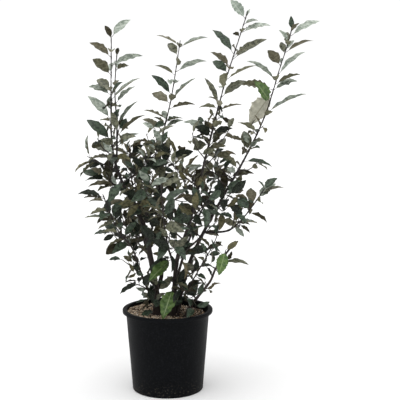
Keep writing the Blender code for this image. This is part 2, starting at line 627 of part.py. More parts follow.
def tube(points, radii, sides):
    """A closed tapering tube: one end face extruded along the points, turned with them."""
    ways = [(after - before).normalized() for before, after in zip(points, points[1:])]
    ways.append(ways[-1])
    turn = UP.rotation_difference(ways[0])
    bm = bmesh.new()
    bmesh.ops.create_circle(bm, cap_ends=True, segments=sides, radius=1.0)
    bm.faces.ensure_lookup_table()
    end = bm.faces[0]
    place = Matrix.LocRotScale(points[0], turn, Vector((radii[0],) * 3))
    bmesh.ops.transform(bm, matrix=place, verts=end.verts)
    for index in range(1, len(points)):
        turn = ways[index - 1].rotation_difference(ways[index]) @ turn
        grown = bmesh.ops.extrude_face_region(bm, geom=[end])["geom"]
        if index > 1:
            bm.faces.remove(end)
        end = next(item for item in grown if isinstance(item, bmesh.types.BMFace))
        target = Matrix.LocRotScale(points[index], turn, Vector((radii[index],) * 3))
        bmesh.ops.transform(bm, matrix=target @ place.inverted(), verts=end.verts)
        place = target
    bmesh.ops.recalc_face_normals(bm, faces=bm.faces)
    return bm


class Twig(NamedTuple):
    """A leafy shoot of a mass: its line, its leaves' first place, length and turn, and what parts them."""

    name: str
    line: Line
    sides: int
    first: float
    leaf: float
    turn: float
    internode: float = INTERNODE
    divergence: float = DIVERGENCE


class Leaf(NamedTuple):
    """A leaf: its root on its shoot's centre line, the ways it points and faces, and its form."""

    root: Vector
    way: Vector
    face: Vector
    length: float
    width: float
    droop: float


def around(way, angle):
    """The direction square to a way, turned by an angle from the compass's zero."""
    side = Vector((1.0, 0.0, 0.0)) - way * way.x
    if side.length < 0.2:
        side = Vector((0.0, 1.0, 0.0)) - way * way.y
    return Quaternion(way, angle) @ side.normalized()


def leaf_at(root, shoot_way, angle, pitch, length, droop, roll):
    """A leaf leaves its shoot at a pitch, its face turned to the shoot's tip and then rolled."""
    outward = around(shoot_way, angle)
    way = (shoot_way * math.cos(pitch) + outward * math.sin(pitch)).normalized()
    face = Quaternion(way, roll) @ (shoot_way * math.sin(pitch) - outward * math.cos(pitch))
    return Leaf(root, way, face, length, length * LEAF_WIDTH_SHARE, droop)


def leaf_between(root, tip, face, width):
    """A leaf from its root to its tip, its upper side turned to face a given way."""
    droop = READ_DROOP
    span = tip - root
    face = (face - span * face.dot(span) / span.length_squared).normalized()
    way = span + face * droop * span.length
    length = way.length
    way = way / length
    return Leaf(root, way, (face - way * face.dot(way)).normalized(), length, width, droop)


def seen_at(column, row, y):
    """The point that the photograph shows at a column and row, as far back as a given y."""
    right = (column - PHOTO_MIDDLE) / CAMERA_FOCUS
    up = (PHOTO_MIDDLE - row) / CAMERA_FOCUS
    way = Vector((right, math.cos(CAMERA_PITCH) + up * math.sin(CAMERA_PITCH),
                  up * math.cos(CAMERA_PITCH) - math.sin(CAMERA_PITCH)))
    return CAMERA + way * ((y - CAMERA.y) / way.y)


def row_of(point):
    """The row at which the photograph shows a point."""
    away = point - CAMERA
    depth = away.y * math.cos(CAMERA_PITCH) - away.z * math.sin(CAMERA_PITCH)
    up = away.y * math.sin(CAMERA_PITCH) + away.z * math.cos(CAMERA_PITCH)
    return PHOTO_MIDDLE - CAMERA_FOCUS * up / depth


def leaf_as_read(reading, stem):
    """A leaf with its root on its stem and its tip where the photograph shows it."""
    roots = [stem.at(stem.length * step / READ_STEPS)[0] for step in range(READ_STEPS)]
    root = min(roots, key=lambda point: abs(row_of(point) - reading.root_row))
    flat = seen_at(*reading.tip, root.y) - root
    reach = math.sqrt(max(reading.length ** 2 - flat.length_squared, 0.0))
    reach = math.copysign(min(reach, READ_REACH), reading.length)
    tip = seen_at(*reading.tip, root.y + reach)
    shown = min(abs(reading.seen) * COLUMN_WIDTH / reading.width, MOST_SHOWN)
    shown = math.copysign(shown, reading.seen)
    face = Vector((0.0, -shown, math.sqrt(1.0 - shown * shown)))
    return leaf_between(root, tip, face, reading.width)


def leaves_of(twig):
    """The leaves of a shoot, two turns in five, each with the places that are tried for it."""
    rng = random.Random(f"{SEED} {twig.name}")
    count = int((twig.line.length - twig.first) / twig.internode)
    for step in range(count + 1):
        distance = min(twig.first + step * twig.internode, twig.line.length - TIP_MARGIN)
        share = distance / twig.line.length
        angle = twig.turn + step * twig.divergence + rng.uniform(-TURN_SPREAD, TURN_SPREAD)
        pitch = LEAF_PITCH + rng.uniform(-PITCH_SPREAD, PITCH_SPREAD) - TIP_PITCH_LOSS * share * share
        size = twig.leaf * rng.uniform(*SIZES) * min(1.0, TIP_LEAF_SIZE + TIP_LEAF_GAIN * (1.0 - share))
        droop = rng.uniform(*DROOPS)
        roll = rng.uniform(-ROLL_SPREAD, ROLL_SPREAD)
        root, way = twig.line.at(distance)
        yield [leaf_at(root, way, angle + math.radians(more), pitch + math.radians(tilt), size * scale,
                       droop, roll) for more, tilt, scale in LEAF_TRIES]


def leaf_template():
    """A six-sided outline with a top and an underside: twelve faces."""
    bm = bmesh.new()
    bmesh.ops.create_uvsphere(bm, u_segments=6, v_segments=2, radius=1.0)
    points = [vert.co.copy() for vert in bm.verts]
    faces = [[vert.index for vert in face.verts] for face in bm.faces]
    bm.free()
    turn = -math.atan2(points[1].y, points[1].x)
    straight = Matrix.Rotation(turn, 4, "Z")
    return [straight @ point for point in points], faces


TEMPLATE_POINTS, TEMPLATE_FACES = leaf_template()


def leaf_points(leaf, margin=0.0):
    """The template stretched to the leaf's outline, folded along its midrib and drooped."""
    across = leaf.face.cross(leaf.way)
    points = []
    for point in TEMPLATE_POINTS:
        along = 0.5 + point.x * (0.34 + 0.16 * point.x * point.x)
        forward = along * (leaf.length + margin)
        side = point.y / 0.866 * (leaf.width / 2 + margin) * (1.1 - 0.25 * along)
        lift = abs(point.y) * leaf.width * LEAF_FOLD_SHARE - leaf.droop * leaf.length * along * along
        lift += point.z * (leaf.length * LEAF_THICKNESS_SHARE / 2 + margin)
        points.append(leaf.root + leaf.way * forward + across * side + leaf.face * lift)
    return points


class Solid(NamedTuple):
    """What a test for touching needs of a piece: its surface, its box and whose it is."""

    surface: BVHTree
    low: Vector
    high: Vector
    owner: str


def solid_of(points, faces, owner):
    low = Vector([min(point[axis] for point in points) for axis in range(3)])
    high = Vector([max(point[axis] for point in points) for axis in range(3)])
    return Solid(BVHTree.FromPolygons(points, faces), low, high, owner)


def solid_of_bmesh(bm, owner):
    bm.verts.index_update()
    points = [vert.co.copy() for vert in bm.verts]
    return solid_of(points, [[vert.index for vert in face.verts] for face in bm.faces], owner)


def touches(piece, others, skip):
    for other in others:
        if other.owner in skip:
            continue
        apart = any(piece.low[axis] > other.high[axis] or piece.high[axis] < other.low[axis]
                    for axis in range(3))
        if not apart and piece.surface.overlap(other.surface):
            return True
    return False


def in_own_space(point, name, stems):
    """A mass keeps the points that lie nearer to its own stem than to another mass's."""
    own = stems[name].gap_to(point)
    return all(own <= line.gap_to(point) + SHARED_BORDER
               for other, line in stems.items() if other != name)


def top_stem(mass, limb_lines):
    """A top mass's stem runs on from its limb's tip along the same line."""
    line = limb_lines[mass.limb]
    start = line.at_height(LIMBS[mass.limb].bare_top)
    return line.part(start, line.length, TOP_STEM_STEP)


def side_stem(mass, limb_lines):
    """A side mass's stem leaves its limb in its compass direction."""
    line = limb_lines[mass.limb]
    start = line.at(line.at_height(mass.height))[0]
    return side_line(start, mass.compass, mass.length, mass.rise, SIDE_STEM_RADIUS, TIP_RADIUS)


def twigs_of(name, stem):
    """A mass's leafy shoots: its stem, then the side twigs spread round the stem's lower part."""
    mass = MASSES[name]
    on_top = name in TOP_MASSES
    sides = TOP_STEM_SIDES if on_top else TWIG_SIDES
    first = TOP_FIRST_LEAF if on_top else SIDE_FIRST_LEAF
    rng = random.Random(f"{SEED} {name} twigs")
    first_turn = math.radians(mass.turn) if on_top else rng.uniform(0.0, 2 * math.pi)
    if name in SPIRES:
        yield Twig(name, stem, sides, SPIRE_FIRST_LEAF, mass.leaf, first_turn, SPIRE_INTERNODE, math.pi)
    else:
        yield Twig(name, stem, sides, first, mass.leaf, first_turn)
    lowest, spread = TOP_TWIG_PLACES if on_top else SIDE_TWIG_PLACES
    turn = rng.uniform(0.0, 2 * math.pi)
    for step in range(mass.twigs):
        share = lowest + spread * (step + rng.uniform(0.0, 0.6)) / mass.twigs
        start, way = stem.at(stem.length * share)
        outward = around(way, turn + step * DIVERGENCE + rng.uniform(-TWIG_TURN_SPREAD, TWIG_TURN_SPREAD))
        first_way = way * math.cos(TWIG_PITCH) + outward * math.sin(TWIG_PITCH)
        last_way = (first_way + UP * TWIG_RISE + way * TWIG_RISE / 2).normalized()
        room = TWIG_STEM_SHARE * stem.length * (TWIG_LENGTHS[1] - share)
        length = min(TWIG_LENGTH, room) * rng.uniform(*TWIG_LENGTHS)
        leaf_turn = rng.uniform(0.0, 2 * math.pi)
        elbow = start + first_way * length * 0.5
        line = Line((start, elbow, elbow + last_way * length * 0.5), TWIG_RADIUS, TIP_RADIUS)
        yield Twig(f"{name}_twig_{step + 1}", line, TWIG_SIDES, TWIG_FIRST_LEAF,
                   mass.leaf * TWIG_LEAF_SHARE, leaf_turn)


def twig_mesh(twig):
    radii = [twig.line.radius(distance) for distance in twig.line.distances]
    return tube(twig.line.points, radii, twig.sides)


def split_faces(bm, mesh):
    """Write the faces as triangles, split in the first way that leaves no edge with a third face."""
    for method in ("BEAUTY", "EAR_CLIP"):
        split = bm.copy()
        bmesh.ops.triangulate(split, faces=split.faces, ngon_method=method)
        flaws = [edge.verts[0].co.copy() for edge in split.edges if not edge.is_manifold]
        split.to_mesh(mesh)
        split.free()
        if not flaws:
            return None
    return flaws[0]


def keep_largest_body(mesh):
    """Drop loose scraps and fill sealed hollows; give the place of a flaw where one is left."""
    bm = bmesh.new()
    bm.from_mesh(mesh)
    bmesh.ops.remove_doubles(bm, verts=bm.verts, dist=MELTED)
    bmesh.ops.dissolve_degenerate(bm, edges=bm.edges, dist=MELTED)
    todo = set(bm.faces)
    bodies = []
    while todo:
        reached = [todo.pop()]
        body = []
        while reached:
            face = reached.pop()
            body.append(face)
            neighbours = {other for edge in face.edges for other in edge.link_faces} & todo
            todo -= neighbours
            reached += neighbours
        bodies.append(body)
    bodies.sort(key=len)
    for body in bodies[:-1]:
        bmesh.ops.delete(bm, geom=body, context="FACES")
    flaw = split_faces(bm, mesh)
    bm.free()
    return flaw


def fuse(name, stem_mesh, piece_meshes):
    """Join a mass's stem, twigs and leaves with one union on their collection."""
    scene_home = bpy.context.scene.collection
    core = bpy.data.objects.new(name + "_stem", stem_mesh)
    scene_home.objects.link(core)
    pieces = bpy.data.collections.new(name + "_pieces")
    scene_home.children.link(pieces)
    for mesh in piece_meshes:
        pieces.objects.link(bpy.data.objects.new(mesh.name, mesh))
    join = core.modifiers.new("join", "BOOLEAN")
    join.operation = "UNION"
    join.operand_type = "COLLECTION"
    join.collection = pieces
    join.solver = "EXACT"
    bpy.context.view_layer.update()
    evaluated = core.evaluated_get(bpy.context.evaluated_depsgraph_get())
    mesh = bpy.data.meshes.new_from_object(evaluated)
    for piece in list(pieces.objects) + [core]:
        bpy.data.objects.remove(piece)
    bpy.data.collections.remove(pieces)
    return mesh


def fuse_soundly(name, stem_mesh, piece_meshes):
    """Join a mass, leaving out the leaf nearest to a flaw for as long as the union has one."""
    while True:
        mesh = fuse(name, stem_mesh, piece_meshes)
        flaw = keep_largest_body(mesh)
        if flaw is None:
            return mesh
        leaves = [piece for piece in piece_meshes if "_leaf_" in piece.name]
        worst = min(leaves, key=lambda leaf: min((vert.co - flaw).length for vert in leaf.vertices))
        print(name, "is joined without", worst.name)
        piece_meshes.remove(worst)


def make_limbs(home):
    """Every stem and bough, its foot cut flat on the soil or to its seat on its carrier."""
    lines = {name: smooth_line(limb.stations, limb.foot_radius, limb.tip_radius)
             for name, limb in LIMBS.items()}
    solids = {}
    points = {}
    for name, limb in LIMBS.items():
        line = lines[name]
        end = line.at_height(limb.bare_top)
        start = line.at_height(TRUNK_TOP) if name == "stem_left" else 0.0
        bm = limb_mesh(name, line, start, end)
        if name == "stem_left":
            foot, way = line.at(start)
            cut_off(bm, foot + way * FIT_GAP, way)
        elif limb.carrier == "soil":
            cut_off(bm, Vector((0.0, 0.0, SOIL_TOP + FIT_GAP)), UP)
        else:
            carrier_way = lines[limb.carrier].at(lines[limb.carrier].at_height(line.points[0].z))[1]
            seat_on(bm, points[limb.carrier], carrier_way, line.points[0], line.at(SEAT_REACH)[1],
                    limb.foot_radius)
        points[name] = [vert.co.copy() for vert in bm.verts]
        solids[name] = solid_of_bmesh(bm, name)
        add_node(name, mesh_from(bm, name), "dark_bark", home)
    return lines, points, solids


def stem_tube(name, stem, limb_lines, limb_points):
    """A mass's stem as a tube whose foot meets its limb's tip or side, the fit gap clear."""
    mass = MASSES[name]
    line = limb_lines[mass.limb]
    start, way = stem.at(0.0)
    radii = [stem.radius(distance) for distance in [0.0] + stem.distances]
    sides = TOP_STEM_SIDES if name in TOP_MASSES else TWIG_SIDES
    bm = tube([start - way * STEM_SINK] + stem.points, radii, sides)
    if name in TOP_MASSES:
        reach = max((point - start).dot(way) for point in limb_points[mass.limb])
        cut_off(bm, start + way * (reach + FIT_GAP), way)
    else:
        carrier_way = line.at(line.at_height(mass.height))[1]
        seat_on(bm, limb_points[mass.limb], carrier_way, start, way, stem.foot_radius)
    return bm


def grow_stems(limb_lines, limb_points, solids):
    """Every mass's stem, as a line and as a mesh; one that touches something is named."""
    stems = {}
    meshes = {}
    for name, mass in MASSES.items():
        stem = top_stem(mass, limb_lines) if name in TOP_MASSES else side_stem(mass, limb_lines)
        bm = stem_tube(name, stem, limb_lines, limb_points)
        solid = solid_of_bmesh(bm, name)
        if touches(solid, solids, (mass.limb,)):
            print(name, "touches another stem: give it another compass direction")
        solids.append(solid)
        stems[name] = stem
        meshes[name] = mesh_from(bm, name + "_stem")
    return stems, meshes


def wanted_leaves(stems, shoots):
    """Each mass's leaves with the shoots that they may touch: those that stand out come first."""
    for reading in STANDING_OUT:
        own = [reading.mass] + [twig.name for twig in shoots[reading.mass]]
        yield reading.mass, own, [leaf_as_read(reading, stems[reading.mass])]
    for name in stems:
        for twig in shoots[name]:
            for choices in leaves_of(twig):
                yield name, [twig.name], choices


def grow_masses(home, limb_lines, limb_points, standing):
    """Grow the wood of every mass first, then its leaves, and fuse each mass into one body."""
    solids = list(standing)
    stems, stem_meshes = grow_stems(limb_lines, limb_points, solids)
    shoots = {name: [] for name in stems}
    pieces = {name: [] for name in stems}
    for name, stem in stems.items():
        for twig in twigs_of(name, stem):
            if twig.name != name:
                bm = twig_mesh(twig)
                solid = solid_of_bmesh(bm, twig.name)
                if touches(solid, solids, (name,)) or not in_own_space(twig.line.points[-1], name, stems):
                    bm.free()
                    continue
                solids.append(solid)
                pieces[name].append(mesh_from(bm, twig.name))
            shoots[name].append(twig)
    placed = 0
    for name, carriers, choices in wanted_leaves(stems, shoots):
        for leaf in choices:
            middle = leaf.root + leaf.way * leaf.length * SPACE_CHECK
            if len(choices) > 1 and not in_own_space(middle, name, stems):
                continue
            if touches(solid_of(leaf_points(leaf, CLEARANCE), TEMPLATE_FACES, name), solids, carriers):
                continue
            leaf_name = f"{name}_leaf_{placed}"
            points = leaf_points(leaf)
            solids.append(solid_of(points, TEMPLATE_FACES, leaf_name))
            mesh = bpy.data.meshes.new(leaf_name)
            mesh.from_pydata(points, [], TEMPLATE_FACES)
            pieces[name].append(mesh)
            placed += 1
            break
        else:
            if len(choices) == 1:
                print(name, "has no room for its leaf that stands out at", round(leaf.root.z, 3))
    print("leaves placed", placed)
    for name in stems:
        mesh = fuse_soundly(name, stem_meshes[name], pieces[name])
        print(name, "pieces", len(pieces[name]), "faces", len(mesh.polygons))
        add_node(name, mesh, "grey_green_leaf", home)


def main():
    for old in list(bpy.data.objects):
        bpy.data.objects.remove(old)
    home = bpy.data.collections.new(OBJECT_NAME)
    cutters = bpy.data.collections.new("cutters")
    bpy.context.scene.collection.children.link(home)
    bpy.context.scene.collection.children.link(cutters)
    pot = make_pot(home, cutters)
    soil = make_soil(home)
    limb_lines, limb_points, limb_solids = make_limbs(home)
    bpy.context.view_layer.update()
    depsgraph = bpy.context.evaluated_depsgraph_get()
    standing = list(limb_solids.values())
    for piece in (pot, soil):
        bm = bmesh.new()
        bm.from_object(piece, depsgraph)
        standing.append(solid_of_bmesh(bm, piece.name))
        bm.free()
    grow_masses(home, limb_lines, limb_points, standing)


main()
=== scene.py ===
# %% [markdown]
# # A potted ebbinge silverberry
# The object is an evergreen shrub, a little over a metre high, in a round black nursery pot. Its
# thin dark stems rise from bark soil, lean apart and end in tall loose spires of wavy, leathery
# leaves that are silvery grey-green above and olive-bronze below.
# A plant could be scattered with particles or instances, but those don't leave Blender well. Here
# every stem, twig and leaf is real mesh. It grows by the same seeded rule as the solid model, so
# the fine leaves stand where the simple solid ones do, and the small shoots fill in between them.

import math
import random
from typing import NamedTuple

import bmesh
import bpy
import numpy as np
from mathutils import Matrix, Quaternion, Vector, noise
from mathutils.bvhtree import BVHTree
from mathutils.geometry import interpolate_bezier


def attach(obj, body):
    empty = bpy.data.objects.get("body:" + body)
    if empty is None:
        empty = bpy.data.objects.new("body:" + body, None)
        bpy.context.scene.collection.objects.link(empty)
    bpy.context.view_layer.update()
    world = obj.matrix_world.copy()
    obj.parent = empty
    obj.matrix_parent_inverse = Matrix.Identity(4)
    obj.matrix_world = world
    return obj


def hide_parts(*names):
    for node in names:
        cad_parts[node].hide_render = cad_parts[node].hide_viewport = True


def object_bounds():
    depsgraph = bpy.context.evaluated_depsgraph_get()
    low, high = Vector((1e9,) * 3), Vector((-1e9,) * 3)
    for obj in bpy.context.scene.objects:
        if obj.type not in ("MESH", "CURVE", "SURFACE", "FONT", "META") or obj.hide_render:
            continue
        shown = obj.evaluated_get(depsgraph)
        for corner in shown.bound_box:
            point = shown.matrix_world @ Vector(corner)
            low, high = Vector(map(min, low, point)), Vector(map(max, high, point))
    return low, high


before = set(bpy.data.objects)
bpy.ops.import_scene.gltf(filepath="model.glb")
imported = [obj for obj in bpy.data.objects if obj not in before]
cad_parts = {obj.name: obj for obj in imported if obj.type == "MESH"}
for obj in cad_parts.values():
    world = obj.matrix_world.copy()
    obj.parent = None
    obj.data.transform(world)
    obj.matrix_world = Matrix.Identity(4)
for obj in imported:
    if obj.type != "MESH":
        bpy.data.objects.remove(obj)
cad_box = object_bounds()
print("solid model", len(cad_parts), "nodes, from", [round(x, 3) for x in cad_box[0]],
      "to", [round(x, 3) for x in cad_box[1]])

# %% [markdown]
# ## How materials are written
# A material is a small network of nodes. Wiring it by hand takes many lines, so one class wraps a
# socket and lets `1 - mask * 0.5` add its own Math nodes, and another makes any node from its type,
# its settings and what goes into its sockets. Colours are mixed by a Mix node, never by Math.

# %% A socket that can be used in sums
class Value:
    """An output socket in an expression: every operator adds the Math node that it stands for."""

    def __init__(self, finish, socket):
        self.finish = finish
        self.socket = socket

    def math(self, operation, first, second=0.0):
        return self.finish.node("ShaderNodeMath", {"operation": operation}, {0: first, 1: second})

    def __add__(self, other):
        return self.math("ADD", self, other)

    def __sub__(self, other):
        return self.math("SUBTRACT", self, other)

    def __mul__(self, other):
        return self.math("MULTIPLY", self, other)

    def __rsub__(self, other):
        return self.math("SUBTRACT", other, self)

    def fraction(self):
        return self.math("FRACT", self)

    def __abs__(self):
        return self.math("ABSOLUTE", self)

    __radd__ = __add__


class Finish:
    """A material with one Principled shader, and the nodes that feed it."""

    def __init__(self, name, specular):
        self.material = bpy.data.materials.new(name)
        self.material.use_nodes = True
        self.shader = self.material.node_tree.nodes["Principled BSDF"]
        self.shader.inputs["Specular IOR Level"].default_value = specular

    def put(self, socket, value):
        """Give a socket a value, or link it to another one."""
        if isinstance(value, Value):
            self.material.node_tree.links.new(value.socket, socket)
        elif socket.type == "RGBA":
            socket.default_value = (*value, 1.0)
        else:
            socket.default_value = value

    def node(self, kind, settings=None, sockets=None, output=0):
        """Any node, from its type, its settings and the values or links of its sockets."""
        node = self.material.node_tree.nodes.new(kind)
        for name, value in (settings or {}).items():
            setattr(node, name, value)
        for key, value in (sockets or {}).items():
            self.put(node.inputs[key], value)
        return Value(self, node.outputs[output])

    def place(self, scale=(1.0, 1.0, 1.0)):
        """The place on the object, in metres, stretched if a pattern has to run one way."""
        where = self.node("ShaderNodeTexCoord", output="Object")
        return self.node("ShaderNodeMapping", sockets={"Vector": where, "Scale": scale})

    def noise(self, size, detail=3.0, scale=(1.0, 1.0, 1.0)):
        """Cloudy noise from 0 to 1 whose blots are about that many metres across."""
        return self.node("ShaderNodeTexNoise", None, {
            "Vector": self.place(scale), "Scale": 1.0 / size, "Detail": detail})

    def between(self, value, low, high):
        """0 below low, 1 above high, and smooth in between."""
        return self.node("ShaderNodeMapRange", {"interpolation_type": "SMOOTHSTEP"},
                         {"Value": value, "From Min": low, "From Max": high})

    def mix(self, factor, first, second):
        """From one colour to another."""
        return self.node("ShaderNodeMix", {"data_type": "RGBA"}, {0: factor, 6: first, 7: second},
                         output=2)

    def bump(self, height, depth):
        """Turn a height from 0 to 1 into a relief that many metres deep."""
        return self.node("ShaderNodeBump", None, {"Height": height, "Distance": depth})

    def wear(self, **parts):
        """Feed the shader: colour, roughness and normal."""
        names = {"colour": "Base Color", "roughness": "Roughness", "normal": "Normal"}
        for part, value in parts.items():
            self.put(self.shader.inputs[names[part]], value)
        return self.material

# %% [markdown]
# ## How a piece is shown
# Every finished mesh becomes an object at the origin, rides on the one body of the model and
# stands for the plain solids that it covers. Edges sharper than a given angle stay crisp. The other
# helpers turn a bmesh, a curve or an object with a modifier into a mesh or into plain lists, and
# join many copies of one shape.

# %% Show a mesh as a piece of the object
SHARP = math.radians(55.0)


def put_in_scene(name, data):
    """A new object of the scene that holds a mesh, a curve, a lamp or a camera."""
    item = bpy.data.objects.new(name, data)
    bpy.context.scene.collection.objects.link(item)
    return item


def show(name, mesh, materials, nodes, sharp=SHARP):
    """Link a finished mesh as one piece that stands for the named solids."""
    mesh.materials.clear()
    for material in materials:
        mesh.materials.append(material)
    mesh.shade_smooth()
    mesh.set_sharp_from_angle(angle=sharp)
    piece = put_in_scene(name, mesh)
    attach(piece, "root")
    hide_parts(*nodes)
    mesh.calc_loop_triangles()
    print(name, len(mesh.loop_triangles), "triangles, stands for", len(nodes), "solids")

# %% Turn other things into meshes
def mesh_of(bm, name):
    """Turn a bmesh into a mesh whose faces all point outwards."""
    bmesh.ops.recalc_face_normals(bm, faces=bm.faces)
    mesh = bpy.data.meshes.new(name)
    bm.to_mesh(mesh)
    bm.free()
    return mesh


def shape_of(bm):
    """A bmesh's points, and its faces as lists of their points' numbers."""
    bm.verts.index_update()
    points = [vert.co.copy() for vert in bm.verts]
    faces = [[vert.index for vert in face.verts] for face in bm.faces]
    bm.free()
    return points, faces


def built_mesh(item):
    """The mesh that an object's curve or modifier makes. The object itself goes."""
    bpy.context.view_layer.update()
    built = item.evaluated_get(bpy.context.evaluated_depsgraph_get())
    mesh = bpy.data.meshes.new_from_object(built)
    bpy.data.objects.remove(item)
    return mesh


def joined(name, blocks, faces):
    """Many copies of one shape as one mesh, from each copy's points and the faces of one."""
    count = len(blocks[0])
    all_faces = [[corner + block * count for corner in face]
                 for block in range(len(blocks)) for face in faces]
    mesh = bpy.data.meshes.new(name)
    mesh.from_pydata(np.concatenate(blocks).tolist(), [], all_faces)
    return mesh

# %% [markdown]
# ## The pot
# A nursery pot is blown or moulded from thin black plastic: a plain tapered wall, a thick
# turned-out rim that the hand grips, and drain holes in the floor. It is a turned shape, so half
# of its section is drawn once and spun round the upright axis. The corners are rounded afterwards
# by bevelling the rings that they became, and the holes are cut last.

# %% Sizes of the pot and the soil
POT_HEIGHT = 0.246
RIM_RADIUS = 0.135
LIP_HEIGHT = 0.010
SHOULDER_RADIUS = 0.1245
BASE_RADIUS = 0.106
WALL = 0.0022
POT_STEPS = 128
WALL_STEPS = 12
DRAIN_HOLES = 8
DRAIN_RADIUS = 0.006
DRAIN_RING = 0.086
DRAIN_STEPS = 24
POT_SHARP = math.radians(35.0)
SAME_PLACE = 0.000001
ON_RING = 0.0001
SOIL_TOP = 0.2265
SOIL_FLAT_RADIUS = 0.075
SOIL_EDGE = 0.2215
SOIL_GAP = 0.0006


def wall_radius(height):
    """The radius of the pot's outer wall, which tapers from its shoulder to its base."""
    share = height / (POT_HEIGHT - LIP_HEIGHT)
    return BASE_RADIUS + (SHOULDER_RADIUS - BASE_RADIUS) * share


def spun(section, steps):
    """A section in the XZ plane, turned once round the Z axis and closed at its poles."""
    bm = bmesh.new()
    corners = [bm.verts.new((radius, 0.0, height)) for radius, height in section]
    edges = [bm.edges.new(pair) for pair in zip(corners, corners[1:])]
    bmesh.ops.spin(bm, geom=corners + edges, cent=(0.0, 0.0, 0.0), axis=(0.0, 0.0, 1.0),
                   angle=2 * math.pi, steps=steps, use_merge=True)
    bmesh.ops.remove_doubles(bm, verts=bm.verts, dist=SAME_PLACE)
    bmesh.ops.recalc_face_normals(bm, faces=bm.faces)
    return bm


def round_ring(bm, radius, height, offset, segments):
    """Round the ring of edges that a corner of the section became."""
    def on_ring(vert):
        return abs(vert.co.xy.length - radius) < ON_RING and abs(vert.co.z - height) < ON_RING
    ring = [edge for edge in bm.edges if all(on_ring(vert) for vert in edge.verts)]
    bmesh.ops.bevel(bm, geom=ring, offset=offset, segments=segments, profile=0.5,
                    affect="EDGES", material=-1)

# %% Turn the pot and cut its drain holes
def make_pot():
    """The turned pot with its rounded edges, its drain holes cut out."""
    shoulder = POT_HEIGHT - LIP_HEIGHT
    inner = SHOULDER_RADIUS - WALL
    wall_steps = [shoulder * step / WALL_STEPS for step in range(WALL_STEPS - 1, 0, -1)]
    section = [(0.0, WALL), (BASE_RADIUS - WALL, WALL), (inner, shoulder), (inner, POT_HEIGHT),
               (RIM_RADIUS, POT_HEIGHT), (RIM_RADIUS, shoulder), (SHOULDER_RADIUS, shoulder)]
    section += [(wall_radius(height), height) for height in wall_steps]
    section += [(BASE_RADIUS, 0.0), (0.0, 0.0)]
    bm = spun(section, POT_STEPS)
    for radius, height, offset, segments in (
            (inner, POT_HEIGHT, 0.0015, 4), (RIM_RADIUS, POT_HEIGHT, 0.0028, 5),
            (RIM_RADIUS, shoulder, 0.0014, 3), (SHOULDER_RADIUS, shoulder, 0.0010, 3),
            (BASE_RADIUS, 0.0, 0.0030, 4)):
        round_ring(bm, radius, height, offset, segments)
    whole = put_in_scene("whole pot", mesh_of(bm, "whole pot"))
    bm = bmesh.new()
    for hole in range(DRAIN_HOLES):
        turn = Matrix.Rotation(2 * math.pi * hole / DRAIN_HOLES, 4, "Z")
        bmesh.ops.create_cone(bm, cap_ends=True, segments=DRAIN_STEPS, radius1=DRAIN_RADIUS,
                              radius2=DRAIN_RADIUS, depth=WALL * 6,
                              matrix=turn @ Matrix.Translation((DRAIN_RING, 0.0, 0.0)))
    drill = put_in_scene("drill", mesh_of(bm, "drill"))
    cut = whole.modifiers.new("drain holes", "BOOLEAN")
    cut.operation = "DIFFERENCE"
    cut.object = drill
    mesh = built_mesh(whole)
    bpy.data.objects.remove(drill)
    return mesh


pot_mesh = make_pot()
print("pot", len(pot_mesh.polygons), "faces")

# %% [markdown]
# Cheap black plastic isn't one black. It has faint clouds and flow lines that run round the wall,
# its sheen comes and goes, dust greys it in places, and soil leaves dim brown scuffs close to the
# ground. The clouds and lines change the colour and the roughness a little, and the scuffs are
# noise that only counts low on the wall.

# %% Black plastic
def black_plastic():
    """Black plastic with clouds, flow lines, dust and, low down, scuffs."""
    finish = Finish("black_plastic", specular=0.06)
    clouds = finish.noise(0.060, 4.0)
    lines = finish.noise(0.020, 3.0, scale=(0.25, 0.25, 5.0))
    grain = finish.noise(0.0012, 2.0)
    height = finish.node("ShaderNodeSeparateXYZ", None, {0: finish.place()}, output="Z")
    low = 1.0 - finish.between(height, 0.004, 0.060)
    scuffs = finish.between(finish.noise(0.006, 6.0, scale=(1.0, 1.0, 1.6)), 0.56, 0.68) * low
    dust = finish.between(finish.noise(0.030, 5.0), 0.50, 0.85)
    mottle = finish.between(finish.noise(0.0045, 3.0), 0.45, 0.75)
    colour = finish.mix(clouds * 0.7 + lines * 0.3,
                        (0.0008, 0.0011, 0.0016), (0.0030, 0.0036, 0.0046))
    colour = finish.mix(dust * 0.12, colour, (0.016, 0.017, 0.018))
    colour = finish.mix(mottle * 0.40, colour, (0.014, 0.015, 0.018))
    colour = finish.mix(scuffs * 0.7, colour, (0.080, 0.070, 0.054))
    return finish.wear(colour=colour, roughness=0.40 + clouds * 0.20 + scuffs * 0.25,
                       normal=finish.bump(grain * 0.4 + lines * 0.6, 0.00035))


show("nursery_pot", pot_mesh, [black_plastic()], ["pot"], POT_SHARP)

# %% [markdown]
# ## The shrub's wood, as lines
# Every stem has a smooth centre line through a few stations, and a radius that tapers along it.
# The stations are those of the solid model, so the fine stems run through the middle of the plain
# ones. A side shoot leaves its stem outwards and then turns up towards the light.

# %% A centre line with a radius
UP = Vector((0.0, 0.0, 1.0))
TAPER = 1.8
BEZIER_PIECES = 10

# A side shoot's first way, outwards and upwards, and the three parts of its length
SIDE_STEM_START = (0.80, 0.60)
SIDE_STEM_PARTS = (0.30, 0.35, 0.35)


